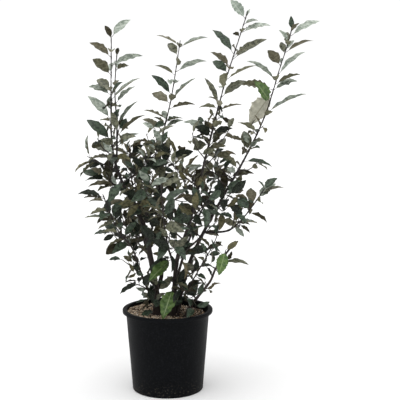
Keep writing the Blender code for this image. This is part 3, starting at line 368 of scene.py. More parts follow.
class Line:
    """A smooth centre line through stations, with its length, and a radius that tapers along it."""

    def __init__(self, points, foot_radius, tip_radius):
        self.points = [Vector(point) for point in points]
        self.distances = [0.0]
        for before, after in zip(self.points, self.points[1:]):
            self.distances.append(self.distances[-1] + (after - before).length)
        self.length = self.distances[-1]
        self.foot_radius = foot_radius
        self.tip_radius = tip_radius

    def at(self, distance):
        """The point and the direction at a distance from the foot."""
        distance = min(max(distance, 0.0), self.length)
        index = 0
        while index < len(self.points) - 2 and self.distances[index + 1] < distance:
            index += 1
        before = self.points[index]
        after = self.points[index + 1]
        share = (distance - self.distances[index]) / (after - before).length
        return before.lerp(after, share), (after - before).normalized()

    def radius(self, distance):
        """The radius at a distance from the foot."""
        left = 1.0 - min(max(distance / self.length, 0.0), 1.0)
        return self.tip_radius + (self.foot_radius - self.tip_radius) * left ** TAPER

    def at_height(self, height):
        """The distance from the foot at which the line first reaches a height."""
        for index, point in enumerate(self.points):
            if point.z >= height and index:
                low = self.points[index - 1]
                share = (height - low.z) / (point.z - low.z)
                return self.distances[index - 1] + share * (point - low).length
        return self.length

    def part(self, start, end, step):
        """The stretch between two distances, in even steps."""
        count = max(2, round((end - start) / step))
        points = [self.at(start + (end - start) * index / count)[0] for index in range(count + 1)]
        return Line(points, self.radius(start), self.radius(end))

    def gap_to(self, point):
        """The distance from a point to the line, measured on its chords."""
        best = math.inf
        for before, after in zip(self.points, self.points[1:]):
            chord = after - before
            share = min(max((point - before).dot(chord) / chord.length_squared, 0.0), 1.0)
            best = min(best, (before + chord * share - point).length)
        return best

# %% The stems and boughs
class Limb(NamedTuple):
    """A stem or bough: what carries it, its stations and radii, and how high its wood is bare.

    From there on its top mass runs along the same line.
    """

    carrier: str
    stations: tuple
    foot_radius: float
    tip_radius: float
    bare_top: float


LEFT_LINE = (
    (-0.030, 0.002, 0.215), (-0.035, 0.000, 0.301), (-0.048, -0.010, 0.395), (-0.070, -0.025, 0.506),
    (-0.132, -0.045, 0.642), (-0.154, -0.060, 0.728), (-0.155, -0.075, 0.872), (-0.151, -0.090, 1.050),
)

LIMBS = {
    "trunk": Limb("soil", LEFT_LINE, 0.0120, 0.0012, 0.335),
    "stem_left": Limb("trunk", LEFT_LINE, 0.0120, 0.0012, 0.700),
    "stem_middle": Limb("trunk", (
        (-0.035, 0.000, 0.296), (-0.019, 0.022, 0.340), (-0.024, 0.044, 0.470), (-0.020, 0.080, 0.723),
        (0.011, 0.100, 0.869), (0.038, 0.120, 1.041)), 0.0070, 0.0012, 0.665),
    "stem_right": Limb("soil", (
        (0.010, -0.003, 0.215), (0.018, -0.002, 0.271), (0.029, 0.000, 0.393), (0.065, -0.010, 0.504),
        (0.115, -0.030, 0.710), (0.166, -0.040, 0.910), (0.198, -0.040, 1.012), (0.233, -0.040, 1.122)),
        0.0088, 0.0012, 0.660),
    "stem_far_right": Limb("soil", (
        (0.022, 0.024, 0.215), (0.036, 0.026, 0.272), (0.067, 0.032, 0.381), (0.127, 0.045, 0.506),
        (0.238, 0.060, 0.704), (0.294, 0.070, 0.826), (0.332, 0.080, 0.950), (0.364, 0.080, 1.053),
        (0.371, 0.080, 1.100)), 0.0080, 0.0012, 0.640),
    "stem_front_right": Limb("soil", (
        (0.050, -0.022, 0.215), (0.067, -0.030, 0.257), (0.126, -0.050, 0.338), (0.144, -0.065, 0.383),
        (0.199, -0.090, 0.468)), 0.0052, 0.0030, 0.500),
    "stem_front_thin": Limb("soil", (
        (0.028, -0.020, 0.215), (0.042, -0.022, 0.271), (0.082, -0.030, 0.349), (0.141, -0.050, 0.460),
        (0.152, -0.060, 0.505)), 0.0034, 0.0012, 0.320),
    "stem_back_left": Limb("soil", (
        (-0.028, 0.040, 0.215), (-0.045, 0.062, 0.330), (-0.085, 0.115, 0.470), (-0.115, 0.180, 0.600),
        (-0.125, 0.215, 0.720)), 0.0062, 0.0016, 0.500),
    "stem_back_right": Limb("soil", (
        (0.012, 0.058, 0.215), (0.030, 0.085, 0.330), (0.075, 0.130, 0.460), (0.130, 0.185, 0.580),
        (0.160, 0.215, 0.700)), 0.0062, 0.0016, 0.490),
    "bough_low_left": Limb("trunk", (
        (-0.034, 0.000, 0.262), (-0.062, -0.018, 0.318), (-0.081, -0.040, 0.374), (-0.100, -0.068, 0.443),
        (-0.136, -0.092, 0.494), (-0.156, -0.112, 0.544), (-0.178, -0.125, 0.610)), 0.0050, 0.0014, 0.425),
    "bough_whip": Limb("stem_left", (
        (-0.149, -0.055, 0.672), (-0.142, -0.062, 0.715), (-0.141, -0.060, 0.800), (-0.146, -0.050, 0.900),
        (-0.140, -0.030, 1.012)), 0.0034, 0.0014, 0.712),
    "bough_front": Limb("stem_right", (
        (0.024, -0.001, 0.335), (0.020, -0.045, 0.385), (0.005, -0.105, 0.455), (-0.005, -0.165, 0.545),
        (-0.010, -0.195, 0.650)), 0.0046, 0.0014, 0.440),
    "bough_right": Limb("stem_far_right", (
        (0.110, 0.042, 0.470), (0.150, 0.018, 0.474), (0.186, 0.004, 0.484), (0.229, -0.020, 0.529),
        (0.285, -0.050, 0.615)), 0.0042, 0.0014, 0.482),
}


def smooth_line(stations, foot_radius, tip_radius, pieces=BEZIER_PIECES):
    """A line of Bezier arcs through the stations, each handle a third of its span."""
    knots = [Vector(station) for station in stations]
    count = len(knots)
    ways = [(knots[min(index + 1, count - 1)] - knots[max(index - 1, 0)]).normalized()
            for index in range(count)]
    points = [knots[0]]
    for index in range(count - 1):
        reach = (knots[index + 1] - knots[index]).length / 3
        first_handle = knots[index] + ways[index] * reach
        last_handle = knots[index + 1] - ways[index + 1] * reach
        points += interpolate_bezier(
            knots[index], first_handle, last_handle, knots[index + 1], pieces)[1:]
    return Line(points, foot_radius, tip_radius)


def side_line(start, compass, length, rise, foot_radius, tip_radius):
    """A side shoot's line: it leaves outwards and upwards, then turns up to its rise."""
    outward = Vector((math.cos(math.radians(compass)), math.sin(math.radians(compass)), 0.0))
    first_way = outward * SIDE_STEM_START[0] + UP * SIDE_STEM_START[1]
    last_way = outward * math.sqrt(1.0 - rise * rise) + UP * rise
    middle_way = (first_way + last_way * 2.0).normalized()
    points = [start]
    for way, part in zip((first_way, middle_way, last_way), SIDE_STEM_PARTS):
        points.append(points[-1] + way * length * part)
    return Line(points, foot_radius, tip_radius)


lines = {name: smooth_line(limb.stations, limb.foot_radius, limb.tip_radius)
         for name, limb in LIMBS.items()}
print("stems and boughs", len(lines), "with", round(sum(line.length for line in lines.values()), 2), "m")

# %% [markdown]
# ## The leafy masses
# On each stem sit leafy masses: one shoot that runs on from the stem's tip, and shoots on its
# sides. They are listed by the stem that carries them, with the length of their leaves and their
# side twigs. The leaves that catch the eye were read in the photograph: the row of the root,
# the column and row of the tip, and how much of the width shows. The camera, worked out from the
# pot, turns each reading into a leaf on its own stem.

# %% The masses
class Reading(NamedTuple):
    """A leaf as it was read in the photograph.

    The length has a minus where the tip is nearer to the camera than the root, and the columns
    of the width that are seen have a minus where they show the underside.
    """

    mass: str
    root_row: float
    tip: tuple
    length: float
    seen: float
    width: float
    kind: str


class Mass(NamedTuple):
    """A mass of leaves: its limb, its leaves' length and its side twigs.

    A mass on a limb's side has its height there, the compass direction and length of its stem,
    and how steeply that rises. One that runs on from a limb's tip has its first leaf's turn.
    """

    limb: str
    leaf: float
    twigs: int
    height: float = 0.0
    compass: float = 0.0
    length: float = 0.0
    rise: float = 0.62
    turn: float = 0.0


# The photograph's camera, worked out from the ellipses of the pot's rim and base
CAMERA = Vector((0.0971, -2.9776, 1.018))
CAMERA_PITCH = math.radians(8.487)
CAMERA_FOCUS = 1019.69
PHOTO_MIDDLE = 200.0
COLUMN_WIDTH = 0.003

TOP_MASSES = {
    "leaves_left_top": Mass("stem_left", 0.062, 2, turn=90.0),
    "leaves_whip_top": Mass("bough_whip", 0.058, 0, turn=90.0),
    "leaves_middle_top": Mass("stem_middle", 0.060, 2, turn=90.0),
    "leaves_right_top": Mass("stem_right", 0.060, 3, turn=90.0),
    "leaves_far_right_top": Mass("stem_far_right", 0.060, 2, turn=90.0),
    "leaves_front_thin_top": Mass("stem_front_thin", 0.048, 0, turn=160.0),
    "leaves_back_left_top": Mass("stem_back_left", 0.072, 2, turn=100.0),
    "leaves_back_right_top": Mass("stem_back_right", 0.072, 2, turn=160.0),
    "leaves_low_left_top": Mass("bough_low_left", 0.070, 2, turn=100.0),
    "leaves_front_top": Mass("bough_front", 0.074, 3, turn=80.0),
    "leaves_bough_right_top": Mass("bough_right", 0.066, 2, turn=260.0),
}

# Under its limb, each side mass's name, leaf length, twigs, height, compass direction, length
# and, where it isn't the usual one, rise
SIDE_ROWS = {
    "stem_left": (
        ("left_1", 0.070, 2, 0.450, 205.0, 0.170), ("left_2", 0.070, 2, 0.500, 80.0, 0.150),
        ("left_3", 0.074, 2, 0.545, 290.0, 0.170), ("left_4", 0.072, 2, 0.590, 180.0, 0.120),
        ("left_5", 0.068, 1, 0.630, 0.0, 0.170, 0.75), ("left_6", 0.070, 2, 0.655, 195.0, 0.110, 0.45),
    ),
    "stem_middle": (
        ("middle_1", 0.070, 1, 0.420, 130.0, 0.140), ("middle_2", 0.072, 2, 0.475, 245.0, 0.150),
        ("middle_3", 0.070, 2, 0.530, 15.0, 0.150), ("middle_4", 0.070, 1, 0.580, 110.0, 0.140),
        ("middle_5", 0.072, 2, 0.625, 290.0, 0.160, 0.72),
    ),
    "stem_right": (
        ("right_1", 0.070, 0, 0.380, 240.0, 0.035), ("right_2", 0.070, 2, 0.455, 160.0, 0.140),
        ("right_3", 0.072, 2, 0.510, 300.0, 0.150), ("right_4", 0.068, 2, 0.565, 90.0, 0.140),
        ("right_5", 0.068, 2, 0.615, 205.0, 0.140, 0.72), ("right_foot", 0.070, 0, 0.295, 265.0, 0.035),
    ),
    "stem_far_right": (
        ("far_right_1", 0.066, 1, 0.455, 200.0, 0.180), ("far_right_2", 0.068, 2, 0.520, 300.0, 0.140),
        ("far_right_3", 0.068, 1, 0.565, 70.0, 0.140),
        ("far_right_4", 0.066, 2, 0.605, 190.0, 0.110, 0.75),
        ("far_right_5", 0.070, 1, 0.628, 175.0, 0.090, 0.80),
        ("far_right_foot", 0.056, 1, 0.330, 320.0, 0.080),
    ),
    "stem_front_right": (
        ("front_right_1", 0.056, 0, 0.285, 200.0, 0.080),
        ("front_right_2", 0.060, 0, 0.425, 270.0, 0.030),
        ("front_right_3", 0.060, 0, 0.390, 0.0, 0.028),
        ("front_right_foot", 0.060, 0, 0.262, 130.0, 0.080),
    ),
    "bough_low_left": (
        ("low_left_1", 0.060, 0, 0.300, 225.0, 0.090, 0.35),
        ("low_left_2", 0.062, 0, 0.360, 210.0, 0.080),
    ),
    "bough_front": (("front_1", 0.072, 1, 0.400, 320.0, 0.130),),
    "stem_back_left": (("back_left_1", 0.072, 0, 0.400, 150.0, 0.150),),
    "stem_back_right": (("back_right_1", 0.072, 1, 0.400, 25.0, 0.160),),
    "trunk": (("trunk_foot", 0.062, 0, 0.285, 280.0, 0.075),),
}
SIDE_MASSES = {"leaves_" + name: Mass(limb, *values)
               for limb, rows in SIDE_ROWS.items() for name, *values in rows}

# The leaves that stand out, under their mass, each read in the photograph: the row of its
# root, the column and row of its tip, its length, the columns of its width that are seen, its
# real width and its kind
STANDING_OUT = (
    ("leaves_left_top", (
        (37, (130, 19), 0.080, 6, 0.027, "silver"), (39, (105, 25.5), -0.050, -2, 0.018, "deep"),
        (57, (90, 42.5), -0.075, -4.5, 0.026, "grey"), (75, (93, 59), -0.075, -8, 0.030, "green"),
        (66, (142, 55), 0.095, 4, 0.026, "pale"), (91, (97, 79), 0.070, 7.5, 0.028, "grey"),
        (94.5, (89, 86), 0.085, 4.5, 0.028, "pale"), (97, (122, 82), -0.065, 6, 0.028, "green"),
        (100.5, (140, 77), 0.100, 2.5, 0.024, "silver"), (119, (88, 96), 0.098, 6.5, 0.030, "silver"),
        (104, (104, 109), -0.045, -7, 0.028, "deep"), (106.5, (120, 107), -0.045, -6, 0.028, "green"),
        (141, (87, 119.5), 0.098, 8.5, 0.032, "green"), (121, (100, 120), -0.045, -4, 0.024, "silver"),
        (154, (94, 144), 0.078, 8, 0.030, "grey"), (158.5, (92, 158), 0.072, 3, 0.024, "grey"),
    )),
    ("leaves_left_6", ((163, (82, 164), 0.060, 3, 0.024, "deep"),)),
    ("leaves_left_4", (
        (176, (91, 168), -0.062, -6, 0.028, "grey"), (180, (85, 180), 0.062, 2, 0.022, "green"),
        (185, (88, 186), -0.090, -6, 0.030, "grey"),
    )),
    ("leaves_low_left_top", (
        (197, (78, 193), 0.078, 3, 0.026, "deep"), (201, (89, 201), -0.050, -3.5, 0.024, "grey"),
        (211, (90, 214), -0.065, -5, 0.028, "pale"), (219, (84, 217.5), 0.088, 2, 0.026, "pale"),
        (223, (98, 229), -0.055, -4, 0.026, "pale"), (233, (101, 232), -0.065, -4, 0.026, "pale"),
        (239, (107, 247), -0.065, -4, 0.026, "green"),
    )),
    ("leaves_left_1", ((236, (134, 226), -0.045, -8, 0.032, "green"),)),
    ("leaves_whip_top", (
        (70, (129, 65), -0.050, -2.5, 0.022, "green"), (56, (118, 47.5), -0.032, -1.5, 0.012, "deep"),
        (104, (135, 86), 0.078, 3, 0.026, "pale"), (121, (119, 109), -0.048, 5.5, 0.022, "green"),
        (127, (137, 101), 0.090, 2.5, 0.022, "pale"), (136, (145, 114), -0.102, -2.5, 0.028, "green"),
        (147, (138, 133), 0.075, 4, 0.028, "pale"),
    )),
    ("leaves_middle_top", (
        (45, (157, 35), -0.075, -1, 0.022, "silver"), (48, (207, 37), 0.088, 1.5, 0.024, "pale"),
        (56, (168, 43), 0.060, 6.5, 0.025, "grey"), (72, (206, 60), 0.102, 4.5, 0.027, "pale"),
        (75.5, (155, 65), -0.072, -2.5, 0.024, "pale"), (95, (152, 75), 0.085, 5, 0.026, "green"),
        (79.5, (170, 84), -0.045, -5, 0.024, "silver"), (103, (152, 93), -0.070, -8, 0.030, "silver"),
        (101, (195, 78), 0.098, 1.5, 0.024, "pale"), (109, (195, 104), -0.080, -3.2, 0.026, "grey"),
        (119, (144, 110), -0.068, -1.8, 0.024, "silver"), (124.5, (154, 117), 0.040, 2, 0.020, "grey"),
        (122, (178, 117), 0.045, 3.5, 0.022, "green"), (128, (183, 120), 0.062, 3, 0.024, "pale"),
    )),
    ("leaves_right_top", (
        (19, (231, 0), 0.072, 8, 0.028, "silver_face"), (17, (250, 9), 0.030, 1, 0.010, "silver"),
        (25, (258, 20), 0.045, 1.5, 0.018, "pale"), (33, (270, 24.5), 0.088, 3, 0.026, "silver"),
        (36, (233, 33), -0.028, -3, 0.016, "deep"), (60, (266, 39), 0.115, 4.5, 0.028, "grey"),
        (57, (251, 46), -0.072, 5.5, 0.028, "grey"), (54.5, (213, 29.5), 0.102, 4.8, 0.028, "green"),
        (67, (211, 52), -0.075, -5, 0.028, "grey"), (72.5, (213, 61), 0.060, 7, 0.028, "green"),
        (70, (222, 87), -0.075, -9, 0.030, "pale"), (80, (256, 65), 0.088, -2, 0.022, "pale"),
        (98, (246, 80), 0.092, 6, 0.028, "grey"), (105, (205, 78), 0.095, 1, 0.020, "grey"),
        (101.5, (208, 97), -0.042, 1.3, 0.016, "grey"), (108, (199, 107), -0.062, -4, 0.024, "pale"),
        (110.5, (242, 104), -0.072, -1.6, 0.022, "grey"), (113, (221, 118), -0.035, -7, 0.026, "green"),
        (132, (184, 121), 0.088, 3.5, 0.026, "pale"), (128, (222, 121), -0.040, -5, 0.024, "pale"),
        (137, (197, 130), 0.045, 6, 0.026, "deep"), (140, (228, 131), 0.062, 5, 0.028, "grey"),
        (149, (226, 146), -0.060, -7, 0.030, "green"), (145, (193, 149), 0.055, 8, 0.030, "grey"),
    )),
    ("leaves_far_right_top", (
        (29, (291, 16), 0.038, 1.5, 0.016, "green"), (33, (299, 23), -0.038, -2.3, 0.018, "grey"),
        (37, (320, 20.5), 0.105, 3.6, 0.028, "silver"), (42, (279, 30), 0.045, 3, 0.020, "silver"),
        (43, (287, 32), 0.040, 5, 0.018, "grey"), (54, (281, 42), 0.045, 6, 0.020, "grey"),
        (50, (294, 40), 0.045, 3, 0.018, "silver"), (52, (313, 39.5), -0.098, -2.8, 0.026, "grey"),
        (66, (268, 50), -0.064, -9, 0.032, "grey"), (75, (304, 51.5), 0.108, 1.6, 0.024, "silver"),
        (80, (248, 60), 0.106, 2.8, 0.026, "pale"), (84, (300, 74), -0.082, -3.4, 0.027, "green"),
        (90, (297, 80), 0.078, 4, 0.027, "pale"), (113, (306, 93), 0.135, 1.2, 0.024, "pale"),
        (133, (238, 122), -0.082, -4, 0.027, "pale"), (143, (264, 140), 0.040, 3, 0.018, "grey"),
        (151, (244, 131), 0.070, 8, 0.032, "grey"), (161, (272, 166), 0.092, 3.5, 0.028, "green"),
        (170, (219, 154), -0.080, -5, 0.028, "pale"), (174, (227, 168), 0.036, 5, 0.024, "silver"),
    )),
    ("leaves_bough_right_top", (
        (190, (277, 178), 0.055, 4, 0.026, "green"), (193, (284, 187), 0.070, 1.5, 0.024, "grey"),
        (198, (271, 187), 0.055, 6, 0.028, "pale"), (204, (249, 189), -0.055, -8, 0.030, "grey"),
        (209, (236, 199), 0.055, 9, 0.032, "green"),
    )),
    ("leaves_far_right_top", (
        (93, (250, 124), 0.115, -17, 0.054, "pale_back"), (101.5, (255, 82), -0.106, 12, 0.040, "bright"),
        (90, (240.5, 84), 0.099, -8, 0.036, "olive_back"),
    )),
    ("leaves_right_1", ((258.5, (149.5, 280.5), -0.123, 9.5, 0.036, "bright"),)),
    ("leaves_right_foot", ((286.5, (163, 318), -0.120, 13.5, 0.044, "bright"),)),
    ("leaves_front_right_2", ((250, (219, 274.5), -0.080, 11, 0.034, "bright"),)),
    ("leaves_front_right_3", ((262, (248, 263.5), -0.082, 3, 0.022, "grey"),)),
)
READINGS = [Reading(mass, *row) for mass, rows in STANDING_OUT for row in rows]

MASSES = {**TOP_MASSES, **SIDE_MASSES}
SPIRES = ("leaves_left_top", "leaves_whip_top", "leaves_middle_top", "leaves_right_top",
          "leaves_far_right_top")
print("masses", len(MASSES), "and leaves read by eye", len(READINGS))

# %% [markdown]
# ## The rule that grows a mass
# Leaves leave a shoot one after another, two turns of it for every five leaves, and each leans out
# at about seventy degrees with its upper side to the tip and the sky. Every draw is seeded with the
# shoot's own name, so a shoot grows the same leaves each time, whatever else is in the scene.

# %% Values of the rule
SEED = 215

# Wood: the sides, length, radius and lean of stems and twigs, and where the twigs sit on a stem
TOP_STEM_SIDES = 4
TOP_STEM_STEP = 0.045
SIDE_STEM_RADIUS = 0.0027
TWIG_SIDES = 3
TWIG_LENGTH = 0.085
TWIG_STEM_SHARE = 0.55
TWIG_LENGTHS = (0.80, 1.15)
TWIG_PITCH = math.radians(50.0)
TWIG_TURN_SPREAD = 0.4
TWIG_RISE = 0.6
TWIG_RADIUS = 0.0017
TIP_RADIUS = 0.0011
TOP_TWIG_PLACES = (0.02, 0.16)
SIDE_TWIG_PLACES = (0.25, 0.50)
TWIG_PLACE_SPREAD = 0.6

# Leaves: two turns of the stem for every five, the blade's form, and how far each draw spreads
INTERNODE = 0.0225
DIVERGENCE = math.radians(144.0)
SPIRE_INTERNODE = 0.055
SPIRE_FIRST_LEAF = 0.030
TIP_MARGIN = 0.001
TOP_FIRST_LEAF = 0.020
SIDE_FIRST_LEAF = 0.032
TWIG_FIRST_LEAF = 0.022
TWIG_LEAF_SHARE = 0.92
LEAF_PITCH = math.radians(70.0)
LEAF_WIDTH_SHARE = 0.37
LEAF_THICKNESS_SHARE = 0.030
LEAF_FOLD_SHARE = 0.20
TURN_SPREAD = 0.30
PITCH_SPREAD = 0.22
TIP_PITCH_LOSS = 0.25
SIZES = (0.84, 1.14)
TIP_LEAF_SIZE = 0.55
TIP_LEAF_GAIN = 5.0
DROOPS = (0.05, 0.24)
ROLL_SPREAD = 0.9

# Leaves read in the photograph: their droop, how far off their tips may lie along the line of
# sight, the steps in which their roots are looked for, and the most of a width that can show
READ_DROOP = 0.15
READ_REACH = 0.060
READ_STEPS = 120
MOST_SHOWN = 0.95

# Room round a leaf when it is tested, how far a mass may reach over its border with another, the
# share of a leaf's length at which its own space is looked at, and how far the tip of a leaf may
# pass the solid model's box
CLEARANCE = 0.0006
SHARED_BORDER = 0.016
SPACE_CHECK = 0.6
REACH_ROOM = 0.010

# What is tried in turn where a leaf would touch something: degrees round its shoot, degrees of
# pitch, and share of its size
LEAF_TRIES = (
    (0, 0, 1.0), (22, 0, 1.0), (-22, 0, 1.0), (0, -18, 1.0), (0, 16, 0.95),
    (40, -10, 0.9), (-40, -10, 0.9), (0, -30, 0.8), (70, 0, 0.75), (-70, 0, 0.75),
)

# %% Shoots of a mass
class Twig(NamedTuple):
    """A leafy shoot: its line, its first leaf's place, length and turn, and what parts its leaves."""

    name: str
    line: Line
    sides: int
    first: float
    leaf: float
    turn: float
    internode: float = INTERNODE
    divergence: float = DIVERGENCE


def around(way, angle):
    """The direction square to a way, turned by an angle from the compass's zero."""
    side = Vector((1.0, 0.0, 0.0)) - way * way.x
    if side.length < 0.2:
        side = Vector((0.0, 1.0, 0.0)) - way * way.y
    return Quaternion(way, angle) @ side.normalized()


def top_stem(mass, limb_lines):
    """A top mass's stem runs on from its limb's tip along the same line."""
    line = limb_lines[mass.limb]
    start = line.at_height(LIMBS[mass.limb].bare_top)
    return line.part(start, line.length, TOP_STEM_STEP)


def side_stem(mass, limb_lines):
    """A side mass's stem leaves its limb in its compass direction."""
    line = limb_lines[mass.limb]
    start = line.at(line.at_height(mass.height))[0]
    return side_line(start, mass.compass, mass.length, mass.rise, SIDE_STEM_RADIUS, TIP_RADIUS)


def twigs_of(name, stem):
    """A mass's leafy shoots: its stem, then the side twigs spread round the stem's lower part."""
    mass = MASSES[name]
    on_top = name in TOP_MASSES
    sides = TOP_STEM_SIDES if on_top else TWIG_SIDES
    first = TOP_FIRST_LEAF if on_top else SIDE_FIRST_LEAF
    rng = random.Random(f"{SEED} {name} twigs")
    first_turn = math.radians(mass.turn) if on_top else rng.uniform(0.0, 2 * math.pi)
    if name in SPIRES:
        yield Twig(name, stem, sides, SPIRE_FIRST_LEAF, mass.leaf, first_turn, SPIRE_INTERNODE,
                   math.pi)
    else:
        yield Twig(name, stem, sides, first, mass.leaf, first_turn)
    lowest, spread = TOP_TWIG_PLACES if on_top else SIDE_TWIG_PLACES
    turn = rng.uniform(0.0, 2 * math.pi)
    for step in range(mass.twigs):
        share = lowest + spread * (step + rng.uniform(0.0, TWIG_PLACE_SPREAD)) / mass.twigs
        start, way = stem.at(stem.length * share)
        twig_turn = turn + step * DIVERGENCE + rng.uniform(-TWIG_TURN_SPREAD, TWIG_TURN_SPREAD)
        outward = around(way, twig_turn)
        first_way = way * math.cos(TWIG_PITCH) + outward * math.sin(TWIG_PITCH)
        last_way = (first_way + UP * TWIG_RISE + way * TWIG_RISE / 2).normalized()
        room = TWIG_STEM_SHARE * stem.length * (TWIG_LENGTHS[1] - share)
        length = min(TWIG_LENGTH, room) * rng.uniform(*TWIG_LENGTHS)
        leaf_turn = rng.uniform(0.0, 2 * math.pi)
        elbow = start + first_way * length * 0.5
        line = Line((start, elbow, elbow + last_way * length * 0.5), TWIG_RADIUS, TIP_RADIUS)
        yield Twig(f"{name}_twig_{step + 1}", line, TWIG_SIDES, TWIG_FIRST_LEAF,
                   mass.leaf * TWIG_LEAF_SHARE, leaf_turn)

# %% Leaves of a shoot
class Leaf(NamedTuple):
    """A leaf: its root on its shoot's centre line, the ways it points and faces, and its form."""

    root: Vector
    way: Vector
    face: Vector
    length: float
    width: float
    droop: float


def leaf_at(root, shoot_way, angle, pitch, length, droop, roll):
    """A leaf leaves its shoot at a pitch, its face turned to the shoot's tip and then rolled."""
    outward = around(shoot_way, angle)
    way = (shoot_way * math.cos(pitch) + outward * math.sin(pitch)).normalized()
    face = Quaternion(way, roll) @ (shoot_way * math.sin(pitch) - outward * math.cos(pitch))
    return Leaf(root, way, face, length, length * LEAF_WIDTH_SHARE, droop)


def leaf_between(root, tip, face, width):
    """A leaf from its root to its tip, its upper side turned to face a given way."""
    droop = READ_DROOP
    span = tip - root
    face = (face - span * face.dot(span) / span.length_squared).normalized()
    way = span + face * droop * span.length
    length = way.length
    way = way / length
    return Leaf(root, way, (face - way * face.dot(way)).normalized(), length, width, droop)


def seen_at(column, row, y):
    """The point that the photograph shows at a column and row, as far back as a given y."""
    right = (column - PHOTO_MIDDLE) / CAMERA_FOCUS
    up = (PHOTO_MIDDLE - row) / CAMERA_FOCUS
    way = Vector((right, math.cos(CAMERA_PITCH) + up * math.sin(CAMERA_PITCH),
                  up * math.cos(CAMERA_PITCH) - math.sin(CAMERA_PITCH)))
    return CAMERA + way * ((y - CAMERA.y) / way.y)


def row_of(point):
    """The row at which the photograph shows a point."""
    away = point - CAMERA
    depth = away.y * math.cos(CAMERA_PITCH) - away.z * math.sin(CAMERA_PITCH)
    up = away.y * math.sin(CAMERA_PITCH) + away.z * math.cos(CAMERA_PITCH)
    return PHOTO_MIDDLE - CAMERA_FOCUS * up / depth


def leaf_as_read(reading, stem):
    """A leaf with its root on its stem and its tip where the photograph shows it."""
    roots = [stem.at(stem.length * step / READ_STEPS)[0] for step in range(READ_STEPS)]
    root = min(roots, key=lambda point: abs(row_of(point) - reading.root_row))
    flat = seen_at(*reading.tip, root.y) - root
    reach = math.sqrt(max(reading.length ** 2 - flat.length_squared, 0.0))
    reach = math.copysign(min(reach, READ_REACH), reading.length)
    tip = seen_at(*reading.tip, root.y + reach)
    shown = min(abs(reading.seen) * COLUMN_WIDTH / reading.width, MOST_SHOWN)
    shown = math.copysign(shown, reading.seen)
    face = Vector((0.0, -shown, math.sqrt(1.0 - shown * shown)))
    return leaf_between(root, tip, face, reading.width)


def leaves_of(twig):
    """The leaves of a shoot, two turns in five, each with the places that are tried for it."""
    rng = random.Random(f"{SEED} {twig.name}")
    count = int((twig.line.length - twig.first) / twig.internode)
    for step in range(count + 1):
        distance = min(twig.first + step * twig.internode, twig.line.length - TIP_MARGIN)
        share = distance / twig.line.length
        angle = twig.turn + step * twig.divergence + rng.uniform(-TURN_SPREAD, TURN_SPREAD)
        pitch = LEAF_PITCH + rng.uniform(-PITCH_SPREAD, PITCH_SPREAD) - TIP_PITCH_LOSS * share * share
        near_tip = min(1.0, TIP_LEAF_SIZE + TIP_LEAF_GAIN * (1.0 - share))
        size = twig.leaf * rng.uniform(*SIZES) * near_tip
        droop = rng.uniform(*DROOPS)
        roll = rng.uniform(-ROLL_SPREAD, ROLL_SPREAD)
        root, way = twig.line.at(distance)
        yield [leaf_at(root, way, angle + math.radians(more), pitch + math.radians(tilt),
                       size * scale, droop, roll) for more, tilt, scale in LEAF_TRIES]

# %% The plain leaf of the solid model, with which every place is tested
LEAF_WAIST = 0.34
LEAF_ENDS = 0.16
HEXAGON = 0.866
BROAD_FOOT = (1.1, 0.25)


def leaf_template():
    """A six-sided outline with a top and an underside: twelve faces."""
    bm = bmesh.new()
    bmesh.ops.create_uvsphere(bm, u_segments=6, v_segments=2, radius=1.0)
    points, faces = shape_of(bm)
    turn = -math.atan2(points[1].y, points[1].x)
    straight = Matrix.Rotation(turn, 4, "Z")
    return [straight @ point for point in points], faces


TEMPLATE_POINTS, TEMPLATE_FACES = leaf_template()
print("plain leaf", len(TEMPLATE_POINTS), "points,", len(TEMPLATE_FACES), "faces")


def leaf_points(leaf, margin=0.0):
    """The template stretched to the leaf's outline, folded along its midrib and drooped."""
    across = leaf.face.cross(leaf.way)
    points = []
    for point in TEMPLATE_POINTS:
        along = 0.5 + point.x * (LEAF_WAIST + LEAF_ENDS * point.x * point.x)
        forward = along * (leaf.length + margin)
        side = point.y / HEXAGON * (leaf.width / 2 + margin) * (BROAD_FOOT[0] - BROAD_FOOT[1] * along)
        lift = abs(point.y) * leaf.width * LEAF_FOLD_SHARE - leaf.droop * leaf.length * along * along
        lift += point.z * (leaf.length * LEAF_THICKNESS_SHARE / 2 + margin)
        points.append(leaf.root + leaf.way * forward + across * side + leaf.face * lift)
    return points

# %% [markdown]
# ## Room for every leaf
# Leaves that run through each other look wrong from close by. So each shoot and leaf is first
# tried as a plain solid: a thin tube, or a six-sided blade. It is placed only where it is clear of
# what already stands, and of the stems, the pot and the soil, which come from the solid model. A
# mass also keeps to its own space. This is the solid model's own test, so the same leaves pass.

# %% Plain solids for the test
class Solid(NamedTuple):
    """A plain solid: its surface, its box, and whose it is."""

    surface: BVHTree
    low: np.ndarray
    high: np.ndarray
    owner: str


def solid_of(points, faces, owner):
    """A plain solid from its points and faces."""
    place = np.array(points)
    return Solid(BVHTree.FromPolygons(points, faces), place.min(0), place.max(0), owner)


class Crowd:
    """Everything that stands so far, with all boxes in two tables for a quick first test."""

    def __init__(self, room):
        self.solids = []
        self.low = np.empty((room, 3))
        self.high = np.empty((room, 3))

    def add(self, solid):
        """Let a solid stand."""
        self.low[len(self.solids)] = solid.low
        self.high[len(self.solids)] = solid.high
        self.solids.append(solid)

    def touches(self, solid, skip):
        """Whether a solid meets any that stands, apart from those of the named owners."""
        count = len(self.solids)
        near = np.all((self.low[:count] <= solid.high) & (self.high[:count] >= solid.low), axis=1)
        return any(self.solids[index].owner not in skip
                   and solid.surface.overlap(self.solids[index].surface)
                   for index in np.flatnonzero(near))


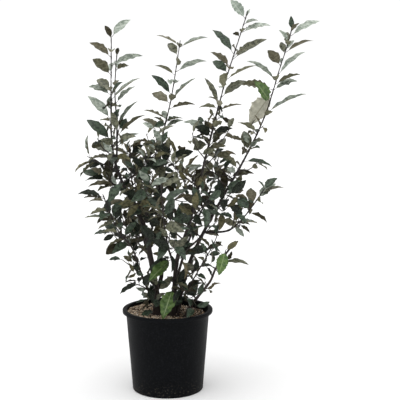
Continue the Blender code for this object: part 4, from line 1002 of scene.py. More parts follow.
def tube(points, radii, sides):
    """A closed tapering tube: one end face extruded along the points, turned with them."""
    ways = [(after - before).normalized() for before, after in zip(points, points[1:])]
    ways.append(ways[-1])
    turn = UP.rotation_difference(ways[0])
    bm = bmesh.new()
    bmesh.ops.create_circle(bm, cap_ends=True, segments=sides, radius=1.0)
    bm.faces.ensure_lookup_table()
    end = bm.faces[0]
    place = Matrix.LocRotScale(points[0], turn, Vector((radii[0],) * 3))
    bmesh.ops.transform(bm, matrix=place, verts=end.verts)
    for index in range(1, len(points)):
        turn = ways[index - 1].rotation_difference(ways[index]) @ turn
        grown = bmesh.ops.extrude_face_region(bm, geom=[end])["geom"]
        if index > 1:
            bm.faces.remove(end)
        end = next(item for item in grown if isinstance(item, bmesh.types.BMFace))
        target = Matrix.LocRotScale(points[index], turn, Vector((radii[index],) * 3))
        bmesh.ops.transform(bm, matrix=target @ place.inverted(), verts=end.verts)
        place = target
    return bm


def shoot_solid(line, sides, owner):
    """A shoot's plain solid."""
    radii = [line.radius(distance) for distance in line.distances]
    return solid_of(*shape_of(tube(line.points, radii, sides)), owner)


def in_own_space(point, name):
    """A mass keeps the points that lie nearer to its own stem than to another mass's."""
    own = stems[name].gap_to(point)
    return all(own <= line.gap_to(point) + SHARED_BORDER
               for other, line in stems.items() if other != name)


MOST_SOLIDS = 6000
crowd = Crowd(MOST_SOLIDS)
for name in list(LIMBS) + ["pot", "soil"]:
    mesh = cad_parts[name].data
    crowd.add(solid_of([vert.co.copy() for vert in mesh.vertices],
                       [list(face.vertices) for face in mesh.polygons], name))
print("standing solids", len(crowd.solids))

# %% Grow the masses: their wood first, then their leaves
class Grown(NamedTuple):
    """A leaf that has found its place: its mass, its shoot, and its kind if that was read."""

    mass: str
    shoot: str
    leaf: Leaf
    kind: str


stems = {}
for name, mass in MASSES.items():
    on_top = name in TOP_MASSES
    stems[name] = top_stem(mass, lines) if on_top else side_stem(mass, lines)
    crowd.add(shoot_solid(stems[name], TOP_STEM_SIDES if on_top else TWIG_SIDES, name))

shoots = []
for name, stem in stems.items():
    for twig in twigs_of(name, stem):
        if twig.name != name:
            solid = shoot_solid(twig.line, TWIG_SIDES, twig.name)
            if crowd.touches(solid, (name,)) or not in_own_space(twig.line.points[-1], name):
                continue
            crowd.add(solid)
        shoots.append((name, twig))


def in_reach(leaf):
    """Whether a leaf's tip stays within the solid model's box, or just outside it."""
    tip = leaf.root + leaf.way * leaf.length
    return all(low - REACH_ROOM <= place <= high + REACH_ROOM
               for low, place, high in zip(cad_box[0], tip, cad_box[1]))


def place_leaf(choices, mass, shoot, own=(), kind=""):
    """Put a leaf in the first of its places that is free, and give it back, or nothing."""
    for leaf in choices:
        middle = leaf.root + leaf.way * leaf.length * SPACE_CHECK
        if not kind and not (in_reach(leaf) and in_own_space(middle, mass)):
            continue
        if crowd.touches(solid_of(leaf_points(leaf, CLEARANCE), TEMPLATE_FACES, mass), (shoot, *own)):
            continue
        crowd.add(solid_of(leaf_points(leaf), TEMPLATE_FACES, "leaf"))
        return Grown(mass, shoot, leaf, kind)
    return None


grown = []
for reading in READINGS:
    read = leaf_as_read(reading, stems[reading.mass])
    own = [twig.name for name, twig in shoots if name == reading.mass]
    grown.append(place_leaf([read], reading.mass, reading.mass, own, reading.kind))
for name, twig in shoots:
    for choices in leaves_of(twig):
        grown.append(place_leaf(choices, name, twig.name))
grown = [leaf for leaf in grown if leaf]
print("shoots", len(shoots), "leaves", len(grown))

# %% [markdown]
# ## Small shoots
# Between the big leaves the real shrub has many short side shoots with two to four young leaves,
# most of them low and in the middle of the crown, where they make it dense and dark. The solid
# model leaves these out. They grow by the same rule, only shorter and closer together, from the
# bare stretches of the stems and from the lower part of the masses' own shoots.
# They stand closest on the trunk's foot, where all turn to the light, in one tuft at the right and
# down the left side, where they also sit further out. The open right side carries none.

# %% Grow the small shoots
SMALL_SPACING = 0.024
SMALL_LENGTHS = (0.012, 0.036)
SMALL_LEAF = (0.040, 0.060)
SMALL_INTERNODE = 0.0085
SMALL_FIRST = 0.006
SMALL_RADII = (0.0011, 0.0007)
SMALL_TURN_SPREAD = 0.5
SMALL_START = (0.5, 0.85)
SMALL_RISE = 0.5
SMALL_GAPS = (0.6, 1.4)
SMALL_STRETCH = (0.15, 0.62)
SMALL_LOWEST = SOIL_TOP + 0.03
SMALL_HIGHEST = 0.80

# The dense tuft, where shoots stand closer, where they sit further out, and where none stand
DENSE_TUFT = "leaves_right_top"
DENSE_HIGHEST = 0.84
CLOSER = {"trunk": 0.007, "leaves_right_top": 0.008, "leaves_back_left_top": 0.008,
          "leaves_left_5": 0.009, "leaves_left_4": 0.010, "leaves_left_3": 0.014,
          "leaves_left_2": 0.014, "leaves_left_1": 0.016}
FURTHER_OUT = {"leaves_back_left_top": 0.98, "leaves_left_5": 0.95, "leaves_left_4": 0.92,
               "leaves_left_3": 0.85, "leaves_left_2": 0.85, "leaves_left_1": 0.85}
OPEN_SIDE = ("stem_back_right", "bough_right", "leaves_middle_3", "leaves_right_2",
             "leaves_right_3", "leaves_right_4", "leaves_far_right_1", "leaves_far_right_2",
             "leaves_back_right_1")

# The trunk's foot: its lowest shoot, and the way in which all of them turn
FOOT_LOWEST = SOIL_TOP + 0.008
FOOT_TURN = math.radians(235.0)
FOOT_SPREAD = math.radians(60.0)


def small_shoots(name, line, start, end):
    """Short leafy shoots in a loose row along a stretch of a stem, each on another side of it."""
    spacing = CLOSER.get(name, SMALL_SPACING)
    rng = random.Random(f"{SEED} {name} small")
    distance = start
    number = 0
    turn = rng.uniform(0.0, 2 * math.pi)
    while distance < end:
        root, way = line.at(distance)
        number += 1
        turn += DIVERGENCE + rng.uniform(-SMALL_TURN_SPREAD, SMALL_TURN_SPREAD)
        if name == "trunk":
            turn = FOOT_TURN + rng.uniform(-FOOT_SPREAD, FOOT_SPREAD)
        outward = around(way, turn)
        first_way = (way * SMALL_START[0] + outward * SMALL_START[1]).normalized()
        last_way = (first_way + UP * SMALL_RISE).normalized()
        buried = line.radius(distance) if name == "trunk" else 0.0
        length = rng.uniform(*SMALL_LENGTHS) + buried
        elbow = root + first_way * length * 0.5
        twig_line = Line((root, elbow, elbow + last_way * length * 0.5), *SMALL_RADII)
        yield Twig(f"{name}_small_{number}", twig_line, TWIG_SIDES, SMALL_FIRST + buried,
                   rng.uniform(*SMALL_LEAF), rng.uniform(0.0, 2 * math.pi), SMALL_INTERNODE)
        distance += spacing * rng.uniform(*SMALL_GAPS)


def small_hosts():
    """The stretches of wood that carry small shoots, each with the mass whose space they share."""
    for name, limb in LIMBS.items():
        line = lines[name]
        mass = next(mass_name for mass_name, mass in MASSES.items() if mass.limb == name)
        lowest = FOOT_LOWEST if name == "trunk" else SMALL_LOWEST
        yield mass, name, line, line.at_height(lowest), line.at_height(limb.bare_top)
    for name, stem in stems.items():
        end = FURTHER_OUT.get(name, SMALL_STRETCH[1])
        yield name, name, stem, stem.length * SMALL_STRETCH[0], stem.length * end


small = []
for mass, host, line, start, end in small_hosts():
    if host in OPEN_SIDE:
        continue
    for twig in small_shoots(host, line, start, end):
        if twig.line.points[0].z > (DENSE_HIGHEST if host == DENSE_TUFT else SMALL_HIGHEST):
            continue
        solid = shoot_solid(twig.line, TWIG_SIDES, twig.name)
        if crowd.touches(solid, (host,)):
            continue
        crowd.add(solid)
        leaves = [place_leaf(choices, mass, twig.name) for choices in leaves_of(twig)]
        leaves = [leaf for leaf in leaves if leaf]
        if leaves:
            small.append((mass, twig))
            grown += leaves
print("small shoots", len(small), "leaves in all", len(grown))

# %% [markdown]
# ## Bark
# A limb is a curve with a round bevel and its own radius at every few millimetres, turned into a
# mesh. That is quick, and the curve keeps its rings from twisting. The radius swells where a leaf
# or a shoot sits, as real nodes do, and flares where a stem enters the soil. The mesh is then
# roughened by noise that is stretched along the stem, like the ridges of young bark.

# %% Tubes of wood
# The step along a stem, the swelling at what it carries, the flare at its foot and how deep that
# stands in the soil, how far its last ring shrinks, and the ridges of its bark
WOOD_STEP = 0.005
SWELLING = 0.30
SWELLING_REACH = 0.0032
FLARE = 0.45
FLARE_HEIGHT = 0.014
FOOT_DEPTH = 0.008
END_SHRINKS = 0.45
FAR_AWAY = 9.0
RIDGES = (420.0, 420.0, 90.0)
RELIEF_SHARE = 0.10
TWIG_RELIEF = 0.0002
BARK_STEPS = 4


def wood_points(line, start, end, step, roots, flares):
    """The centre points and radii of a stem, swollen at the roots of what it carries."""
    count = max(3, round((end - start) / step))
    roots = np.array(roots) if roots else np.full((1, 3), FAR_AWAY)
    for index in range(count + 1):
        distance = start + (end - start) * index / count
        point = line.at(distance)[0]
        radius = line.radius(distance)
        nearest = np.linalg.norm(roots - np.array(point), axis=1).min()
        radius *= 1.0 + SWELLING * math.exp(-(nearest / SWELLING_REACH) ** 2)
        if flares:
            radius *= 1.0 + FLARE * math.exp(-max(point.z - SOIL_TOP, 0.0) / FLARE_HEIGHT)
        if index == count:
            radius *= END_SHRINKS
        yield point, radius


def wood_mesh(name, runs, round_steps, relief):
    """Many stems as one mesh. Each run is its points with their radii."""
    curve = bpy.data.curves.new(name, "CURVE")
    curve.dimensions = "3D"
    curve.bevel_depth = 1.0
    curve.bevel_resolution = round_steps
    curve.use_fill_caps = True
    for run in runs:
        run = list(run)
        spline = curve.splines.new("POLY")
        spline.points.add(len(run) - 1)
        for knot, (point, radius) in zip(spline.points, run):
            knot.co = (*point, 1.0)
            knot.radius = radius
    bm = bmesh.new()
    bm.from_mesh(built_mesh(put_in_scene(name, curve)))
    bmesh.ops.remove_doubles(bm, verts=bm.verts, dist=0.00001)
    bm.normal_update()
    for vert in bm.verts:
        vert.co += vert.normal * relief * noise.noise(vert.co * Vector(RIDGES))
    return mesh_of(bm, name)


def roots_on(shoot):
    """Where leaves and shoots sit on a shoot or stem."""
    return [leaf.leaf.root for leaf in grown if leaf.shoot == shoot]

# %% [markdown]
# Young silverberry bark is nearly black against the sky, with a purple cast, and turns greyish
# brown and a little red near the ground. Small pale pores are scattered over it. Height drives the
# change of colour, and a cell pattern gives the pores.

# %% Bark finishes
def bark(name, low, high, pale):
    """Bark from its colour near the ground to its colour high up, with pale patches and pores."""
    finish = Finish(name, specular=0.35)
    height = finish.node("ShaderNodeSeparateXYZ", None, {0: finish.place()}, output="Z")
    streaks = finish.noise(0.006, 4.0, scale=(1.6, 1.6, 0.35))
    patches = finish.noise(0.022, 3.0)
    pores = finish.node("ShaderNodeTexVoronoi", None,
                        {"Vector": finish.place((1.0, 1.0, 0.7)), "Scale": 260.0}, output="Distance")
    dots = 1.0 - finish.between(pores, 0.10, 0.26)
    rise = finish.between(height + patches * 0.12, 0.28, 0.62)
    colour = finish.mix(rise, low, high)
    colour = finish.mix(streaks * 0.55, colour, (0.012, 0.009, 0.009))
    colour = finish.mix(finish.between(patches, 0.52, 0.75) * 0.45, colour, pale)
    colour = finish.mix(dots * 0.45, colour, pale)
    return finish.wear(colour=colour, roughness=0.55 + streaks * 0.3,
                       normal=finish.bump(streaks + dots * 0.5, 0.0006))


old_bark = bark("dark_bark", (0.034, 0.022, 0.017), (0.028, 0.022, 0.022), (0.085, 0.070, 0.058))
young_bark = bark("young_bark", (0.050, 0.036, 0.028), (0.040, 0.032, 0.030), (0.110, 0.095, 0.075))

# %% Stems and boughs, each a piece of its own
# The left stem is the trunk's line carried on, so both are one piece
for name, limb in LIMBS.items():
    if name == "stem_left":
        continue
    line = lines[name]
    limb_names = ("trunk", "stem_left") if name == "trunk" else (name,)
    carried = [stems[mass_name].points[0] for mass_name, mass in MASSES.items()
               if mass.limb in limb_names]
    carried += [point for mass_name, mass in TOP_MASSES.items() if mass.limb in limb_names
                for point in roots_on(mass_name)]
    start = line.at_height(SOIL_TOP - FOOT_DEPTH) if limb.carrier == "soil" else 0.0
    run = wood_points(line, start, line.length, WOOD_STEP, carried, limb.carrier == "soil")
    mesh = wood_mesh("bark_" + name, [run], BARK_STEPS, limb.foot_radius * RELIEF_SHARE)
    show("bark_" + name, mesh, [old_bark], limb_names)

# %% Side shoots, twigs and leaf stalks, joined
# A stalk's share of its leaf, how far it runs into the blade, and how it sags and tapers
TWIG_STEP = 0.007
CURVE_PIECES = 5
STALK_SHARE = 0.13
STALK_OVERLAP = 0.02
STALK_SAG = 0.006
STALK_RADIUS = 0.00075
STALK_TAPER = (1.3, 0.7)


def curved(line):
    """A shoot's line with its corners smoothed."""
    return smooth_line(line.points, line.foot_radius, line.tip_radius, CURVE_PIECES)


def twig_runs():
    """The side masses' stems, and then every twig and small shoot."""
    runs = [(name, stem) for name, stem in stems.items() if name in SIDE_MASSES]
    runs += [(twig.name, twig.line) for name, twig in shoots + small if twig.name not in stems]
    for name, way in runs:
        line = curved(way)
        yield wood_points(line, 0.0, line.length, TWIG_STEP, roots_on(name), False)


def stalk_runs():
    """Each leaf's stalk, which runs a little way into the blade."""
    for leaf in (item.leaf for item in grown):
        end = leaf.root + leaf.way * leaf.length * (STALK_SHARE + STALK_OVERLAP)
        middle = leaf.root.lerp(end, 0.5) - leaf.face * leaf.length * STALK_SAG
        yield [(leaf.root, STALK_RADIUS * STALK_TAPER[0]), (middle, STALK_RADIUS),
               (end, STALK_RADIUS * STALK_TAPER[1])]


for name, runs, round_steps, relief in (("twigs", twig_runs(), 1, TWIG_RELIEF),
                                        ("leaf_stalks", stalk_runs(), 0, 0.0)):
    mesh = wood_mesh(name, runs, round_steps, relief)
    show(name, mesh, [young_bark], list(MASSES))

# %% [markdown]
# ## The leaf blade
# A silverberry leaf is leathery: an oval with a short point, folded a little along its midrib, its
# margin waved up and down and slightly toothed, its tip turned down. It starts as two grids, eight
# strips long and four across. Their ends are drawn together to a point and the rims are welded, so
# the blade is a closed thin cushion of some sixty faces. Both sides need the same strips, as the
# lower one would cut through the bent upper one otherwise.
# All blades are this one mesh, whose points are bent together to each leaf's own place and form.

# %% The blade's mesh
PLAIN_STRIPS = (8, 4)
FINE_STRIPS = (36, 12)


def blade_grid(long, across, material):
    """A grid from -1 to 1 whose two ends are drawn together to a point."""
    bm = bmesh.new()
    bmesh.ops.create_grid(bm, x_segments=long, y_segments=across, size=1.0)
    for end in (-1.0, 1.0):
        row = [vert for vert in bm.verts if abs(vert.co.x - end) < 0.001]
        bmesh.ops.pointmerge(bm, verts=row, merge_co=(end, 0.0, 0.0))
    for face in bm.faces:
        face.material_index = material
    return bm


def blade(long, across):
    """The upper and the lower side of a blade, welded along their rim."""
    bm = blade_grid(long, across, 0)
    lower = blade_grid(long, across, 1)
    bmesh.ops.reverse_faces(lower, faces=lower.faces)
    scrap = bpy.data.meshes.new("lower side")
    lower.to_mesh(scrap)
    lower.free()
    bm.verts.layers.float.new("side")
    side = bm.verts.layers.float["side"]
    for vert in bm.verts:
        vert[side] = 0.0 if vert.is_boundary else 1.0
    upper_count = len(bm.verts)
    bm.from_mesh(scrap)
    bpy.data.meshes.remove(scrap)
    bm.verts.ensure_lookup_table()
    for vert in bm.verts[upper_count:]:
        vert[side] = 0.0 if vert.is_boundary else -1.0
    rims = [vert for vert in bm.verts if vert.is_boundary]
    bmesh.ops.remove_doubles(bm, verts=rims, dist=0.0001)
    points = np.array([(vert.co.x, vert.co.y, vert[side]) for vert in bm.verts])
    sides = [face.material_index for face in bm.faces]
    return points, shape_of(bm)[1], sides


PLAIN_BLADE = blade(*PLAIN_STRIPS)
FINE_BLADE = blade(*FINE_STRIPS)
print("blade", len(PLAIN_BLADE[1]), "faces, fine blade", len(FINE_BLADE[1]))

# %% Bend a blade to a leaf
# The form of the outline, waves, teeth, fold, curled tip, twist, midrib and side veins, mostly as
# shares of the leaf's width or length
BLADE_THICK = 0.0005
OUTLINE_POWERS = (0.92, 0.84)
OUTLINE_FOOT = (1.06, 0.12)
WAVES = (4.2, 5.6)
WAVE_SHARE = (0.040, 0.090)
WAVE_DEPTH = 1.6
RIM_SHIFT = 1.3
TOOTH_SHARE = 0.060
FOLD_SHARE = 0.24
FOLD_POWER = 1.3
CURL_FROM = 0.7
CURL_PART = 0.3
CURL_SHARE = (0.02, 0.07)
TWISTS = (-0.35, 0.35)
RIB_THICK = 1.2
RIB_WIDTH = 0.10
VEINS = 8.0
VEIN_SLANT = 0.22
VEIN_SHARE = 0.006


def bent(leaf, template, rng, veined=False):
    """The template's points, bent to a leaf's length, width, fold, droop, waves and tip."""
    x, across, side = template.T
    along = (x + 1.0) / 2.0
    forward = STALK_SHARE + (1.0 - STALK_SHARE) * along
    swell = np.sin(math.pi * np.clip(along, 0.0, 1.0) ** OUTLINE_POWERS[0])
    outline = swell.clip(0.0) ** OUTLINE_POWERS[1]
    outline *= OUTLINE_FOOT[0] - OUTLINE_FOOT[1] * along
    phase = rng.uniform(0.0, 2 * math.pi)
    waves = rng.uniform(*WAVES) * 2 * math.pi
    margin = np.abs(across) ** 2
    teeth = 1.0 + TOOTH_SHARE * margin * np.sin(waves * along * 2.0 + phase)
    half = leaf.width / 2 * outline * teeth
    rim = np.where(across < 0, phase, phase + RIM_SHIFT)
    lift = np.abs(across) ** FOLD_POWER * leaf.width * FOLD_SHARE * outline
    lift += (margin * outline * leaf.width * rng.uniform(*WAVE_SHARE) * WAVE_DEPTH
             * np.sin(waves * along + rim))
    lift -= leaf.droop * leaf.length * forward ** 2
    curl = np.clip((along - CURL_FROM) / CURL_PART, 0.0, 1.0) ** 2
    lift -= rng.uniform(*CURL_SHARE) * leaf.length * curl
    lift += across * half * rng.uniform(*TWISTS) * along
    thick = BLADE_THICK * (1.0 - margin)
    lift += np.where(side > 0, thick / 2, -thick / 2) * np.abs(side)
    rib = np.exp(-(across / RIB_WIDTH) ** 2) * (side < 0)
    lift -= BLADE_THICK * RIB_THICK * rib * (1.0 - along)
    if veined:
        vein = np.abs(((along - VEIN_SLANT * np.abs(across)) * VEINS) % 1.0 - 0.5)
        lift += leaf.width * VEIN_SHARE * (vein - 0.25) * (1.0 - np.abs(across)) * 2.0
    way, face = np.array(leaf.way), np.array(leaf.face)
    width_way = np.array(leaf.face.cross(leaf.way))
    return (np.array(leaf.root) + np.outer(forward * leaf.length, way)
            + np.outer(across * half, width_way) + np.outer(lift, face))


def leaf_mesh(name, leaves, pattern, veined=False):
    """All leaves of one kind as one mesh, the upper side's faces in the first slot."""
    template, faces, sides = pattern
    blocks = [bent(leaf, template, random.Random(f"{SEED} leaf {number}"), veined)
              for number, leaf in leaves]
    mesh = joined(name, blocks, faces)
    for title, values in (("along", (template[:, 0] + 1.0) / 2.0), ("across", template[:, 1])):
        layer = mesh.attributes.new(title, "FLOAT", "POINT")
        layer.data.foreach_set("value", np.tile(values, len(leaves)).astype(np.float32))
    return mesh


def paint_sides(mesh, pattern):
    """The lower side of every blade takes the second material."""
    sides = pattern[2]
    mesh.polygons.foreach_set("material_index", sides * (len(mesh.polygons) // len(sides)))

# %% [markdown]
# ## Leaf finishes
# The upper side of a young leaf is covered with silvery scales, which wear off as it ages. The lower
# side is olive-bronze, or pale beige on a fresh leaf, with tiny rust-brown scales. Old leaves are
# olive on both sides. Each kind of leaf is a pair of finishes, and the kinds are dealt out by spray,
# as one shoot's leaves are the same age, in shares that hang on the height. The shares also paint
# light and shade: the pale silvery kinds go mostly to the spires, partly as painted light from the
# sky, and the near-black deep kind mostly to the inner and lower leaves, as painted shade.

# %% Leaf materials
def leaf_side(name, dark, light, speck, roughness, specular):
    """One side of a leaf: a dark and a light colour in soft clouds, partly its own tone and partly painted
    highlight streaks of its gloss, with fine scales and a satin sheen.
    """
    finish = Finish(name, specular=specular)
    clouds = finish.noise(0.008, 3.0, scale=(0.9, 0.9, 1.4))
    scales = finish.between(finish.noise(0.0011, 2.0), 0.56, 0.72)
    # The light colour in the clouds is partly painted highlight: streaks that stand for the gloss catching
    # the sky
    colour = finish.mix(finish.between(clouds, 0.30, 0.70), dark, light)
    colour = finish.mix(scales * 0.25, colour, speck)
    return finish.wear(colour=colour, roughness=roughness + clouds * 0.12,
                       normal=finish.bump(clouds + scales * 0.15, 0.0007))


SILVER_SPECK = (0.42, 0.46, 0.42)
RUST_SPECK = (0.110, 0.080, 0.052)
KINDS = {
    # The silver kind's upper side is the leaf's silvery scales, and partly painted light from the sky on
    # the spires
    "silver": (("silver_top", (0.165, 0.205, 0.160), (0.490, 0.535, 0.470), SILVER_SPECK, 0.42, 0.4),
               ("ash_under", (0.200, 0.190, 0.130), (0.330, 0.315, 0.235), RUST_SPECK, 0.60, 0.2)),
    "pale": (("pale_top", (0.062, 0.084, 0.060), (0.300, 0.338, 0.278), SILVER_SPECK, 0.35, 0.42),
             ("olive_under", (0.114, 0.116, 0.070), (0.220, 0.216, 0.144), RUST_SPECK, 0.60, 0.2)),
    "grey": (("grey_top", (0.030, 0.034, 0.017), (0.172, 0.176, 0.112), SILVER_SPECK, 0.34, 0.38),
             ("bronze_under", (0.086, 0.080, 0.050), (0.182, 0.168, 0.114), RUST_SPECK, 0.60, 0.2)),
    "green": (("green_top", (0.009, 0.017, 0.009), (0.060, 0.093, 0.056), SILVER_SPECK, 0.34, 0.30),
              ("khaki_under", (0.056, 0.056, 0.032), (0.138, 0.134, 0.086), RUST_SPECK, 0.60, 0.15)),
    "olive": (("olive_top", (0.052, 0.049, 0.020), (0.150, 0.138, 0.064), SILVER_SPECK, 0.42, 0.25),
              ("tawny_under", (0.085, 0.072, 0.038), (0.190, 0.165, 0.100), RUST_SPECK, 0.60, 0.2)),
    # The deep kind is near-black on both sides: painted shade for the leaves inside and low in the crown
    "deep": (("deep_top", (0.002, 0.004, 0.002), (0.015, 0.022, 0.012), SILVER_SPECK, 0.40, 0.14),
             ("brown_under", (0.022, 0.020, 0.012), (0.066, 0.060, 0.036), RUST_SPECK, 0.60, 0.12)),
}
STANDING_KINDS = {
    "bright": ((0.034, 0.080, 0.014), (0.108, 0.182, 0.045), (0.250, 0.320, 0.145),
               (0.130, 0.160, 0.075), (0.190, 0.215, 0.120), (0.300, 0.330, 0.200)),
    "pale_back": ((0.070, 0.100, 0.055), (0.120, 0.150, 0.090), (0.200, 0.230, 0.150),
                  (0.420, 0.410, 0.330), (0.560, 0.550, 0.455), (0.300, 0.285, 0.210)),
    "olive_back": ((0.060, 0.085, 0.045), (0.100, 0.130, 0.080), (0.200, 0.230, 0.150),
                   (0.095, 0.092, 0.050), (0.160, 0.152, 0.095), (0.220, 0.205, 0.140)),
    "silver_face": ((0.200, 0.245, 0.200), (0.330, 0.380, 0.325), (0.400, 0.440, 0.380),
                    (0.160, 0.158, 0.120), (0.230, 0.225, 0.180), (0.260, 0.250, 0.200)),
}

# How often each kind is dealt out in the spires, in the middle, below it and at the foot. The pale
# kinds high up are partly painted light, and the deep kind low down is painted shade
UPPER_SHARES = {"silver": 0.43, "pale": 0.33, "grey": 0.18, "olive": 0.06}
MIDDLE_SHARES = {"silver": 0.07, "pale": 0.15, "grey": 0.21, "green": 0.20, "olive": 0.15,
                 "deep": 0.22}
LOWER_SHARES = {"pale": 0.04, "grey": 0.14, "green": 0.25, "olive": 0.15, "deep": 0.42}
FOOT_SHARES = {"pale": 0.14, "grey": 0.20, "green": 0.54, "deep": 0.12}
UPPER_FROM = 0.80
MIDDLE_FROM = 0.62
FOOT_TO = 0.31
KEEPS_ITS_SPRAY = 0.7


def kind_of(item, number):
    """A leaf's kind: as read, or mostly its spray's, which hangs on how high the spray sits."""
    if item.kind:
        return item.kind
    height = item.leaf.root.z
    # Painted light and shade: low leaves and the dense tuft get shares rich in the near-black deep kind,
    # the spires mostly the pale silvery kinds
    shares = LOWER_SHARES
    if height < FOOT_TO:
        shares = FOOT_SHARES
    elif height > MIDDLE_FROM and not (item.mass == DENSE_TUFT and height < DENSE_HIGHEST):
        shares = UPPER_SHARES if height > UPPER_FROM else MIDDLE_SHARES
    spray = random.Random(f"{SEED} {item.shoot} kind")
    own = random.Random(f"{SEED} leaf {number} kind")
    chooser = spray if own.random() < KEEPS_ITS_SPRAY else own
    return chooser.choices(list(shares), list(shares.values()))[0]


dealt = {kind: [] for kind in [*KINDS, *STANDING_KINDS]}
for number, item in enumerate(grown):
    dealt[kind_of(item, number)].append((number, item))
for kind, (upper, under) in KINDS.items():
    numbered = [(number, item.leaf) for number, item in dealt[kind]]
    mesh = leaf_mesh("leaves_" + kind, numbered, PLAIN_BLADE)
    masses = sorted({item.mass for number, item in dealt[kind]})
    show("leaves_" + kind, mesh, [leaf_side(*upper), leaf_side(*under)], masses)
    paint_sides(mesh, PLAIN_BLADE)

# %% [markdown]
# ## Leaves that stand out
# A few leaves face the eye squarely: the silvery one at the very top, a pale one that hangs with its
# veined underside out, an olive one beside it, and fresh green ones, most of them low down. These
# have a finer blade with raised side veins. Each is a piece of its own, so a pattern may follow
# the blade: two values kept on the mesh, along and across, say where on the leaf a point is, and
# draw the midrib and the veins.

# %% Veined leaves
def veined_side(name, dark, light, vein_colour, roughness, specular=0.4):
    """One side of a leaf that stands out, its midrib and veins drawn along the blade."""
    finish = Finish(name, specular=specular)
    along = finish.node("ShaderNodeAttribute", {"attribute_name": "along"}, output="Fac")
    across = abs(finish.node("ShaderNodeAttribute", {"attribute_name": "across"}, output="Fac"))
    midrib = 1.0 - finish.between(across, 0.03, 0.09)
    step = ((along - across * VEIN_SLANT) * VEINS).fraction()
    veins = (1.0 - finish.between(abs(step - 0.5), 0.05, 0.13)) * (1.0 - across)
    clouds = finish.noise(0.012, 3.0)
    scales = finish.between(finish.noise(0.0011, 2.0), 0.56, 0.72)
    colour = finish.mix(finish.between(clouds, 0.30, 0.70), dark, light)
    colour = finish.mix(scales * 0.2, colour, vein_colour)
    colour = finish.mix(midrib * 0.8, finish.mix(veins * 0.32, colour, vein_colour), vein_colour)
    return finish.wear(colour=colour, roughness=roughness + clouds * 0.1,
                       normal=finish.bump(clouds * 0.6 + veins * 0.4, 0.0006))


for kind, (dark, light, vein, under_dark, under_light, under_vein) in STANDING_KINDS.items():
    finishes = [veined_side(kind + "_upper", dark, light, vein, 0.34),
                veined_side(kind + "_lower", under_dark, under_light, under_vein, 0.55, 0.3)]
    for number, item in dealt[kind]:
        name = f"leaf_{kind}_{number + 1}"
        mesh = leaf_mesh(name, [(number, item.leaf)], FINE_BLADE, veined=True)
        show(name, mesh, finishes, [item.mass])
        paint_sides(mesh, FINE_BLADE)

# %% [markdown]
# ## The soil
# The pot is filled with composted bark and peat: a dark uneven ground, heaped a little against one
# side of the wall, with loose crumbs and chips on it. The ground is turned like the pot and its top
# is roughened by noise. The chips are one rough twenty-sided crumb, copied with its own turn, size
# and place, and joined by colour. More are pale on the left, and more are dark on the right.

# %% The ground
SOIL_RING = 0.004
SOIL_STEPS = 96
SOIL_WALL_HEIGHTS = (0.15, 0.08, WALL + SOIL_GAP)
TOP_MARGIN = 0.001
HEAP_START = 0.035
HEAP_HEIGHT = 0.016
LUMPS = ((0.0022, 45.0, 0.3), (0.0010, 190.0, 7.1))


def soil_radius(height):
    """The radius of the soil, which stops just short of the wall."""
    return wall_radius(height) - WALL - SOIL_GAP


def share_of(value, start, end):
    """How far a value is between two others, from 0 to 1."""
    return min(max((value - start) / (end - start), 0.0), 1.0)


def ground_height(x, y):
    """The soil's surface: flat round the stems, heaped at one side, with small lumps and hollows."""
    edge = soil_radius(SOIL_EDGE)
    radius = math.hypot(x, y)
    height = SOIL_TOP + (SOIL_EDGE - SOIL_TOP) * share_of(radius, SOIL_FLAT_RADIUS, edge)
    heap = share_of(radius, HEAP_START, edge)
    height += HEAP_HEIGHT * heap * (0.5 - 0.5 * x / max(radius, HEAP_START))
    for depth, scale, layer in LUMPS:
        height += depth * noise.noise(Vector((x * scale, y * scale, layer)))
    return height


def make_ground():
    """The whole filling of the pot as one turned body with an uneven top."""
    edge = soil_radius(SOIL_EDGE)
    rings = round(edge / SOIL_RING)
    section = [(edge * ring / rings, SOIL_EDGE + TOP_MARGIN) for ring in range(rings + 1)]
    section += [(soil_radius(height), height) for height in SOIL_WALL_HEIGHTS]
    section += [(0.0, SOIL_WALL_HEIGHTS[-1])]
    bm = spun(section, SOIL_STEPS)
    for vert in bm.verts:
        if vert.co.z > SOIL_EDGE:
            vert.co.z = ground_height(vert.co.x, vert.co.y)
    return mesh_of(bm, "soil_ground")


def soil_finish(name, dark, light, depth=0.0012):
    """Peat or bark: two colours in crumbs and patches, dark fibres, and a rough dry surface."""
    finish = Finish(name, specular=0.15)
    crumbs = finish.noise(0.0022, 5.0)
    patches = finish.noise(0.018, 3.0)
    fibres = finish.noise(0.003, 3.0, scale=(3.0, 0.6, 1.0))
    colour = finish.mix(crumbs * 0.6 + patches * 0.4, dark, light)
    colour = finish.mix(finish.between(fibres, 0.55, 0.8) * 0.3, colour, dark)
    return finish.wear(colour=colour, roughness=0.85 + crumbs * 0.12,
                       normal=finish.bump(crumbs, depth))


damp_peat = soil_finish("damp_peat", (0.024, 0.018, 0.013), (0.110, 0.080, 0.056))
show("soil_ground", make_ground(), [damp_peat], ["soil"])

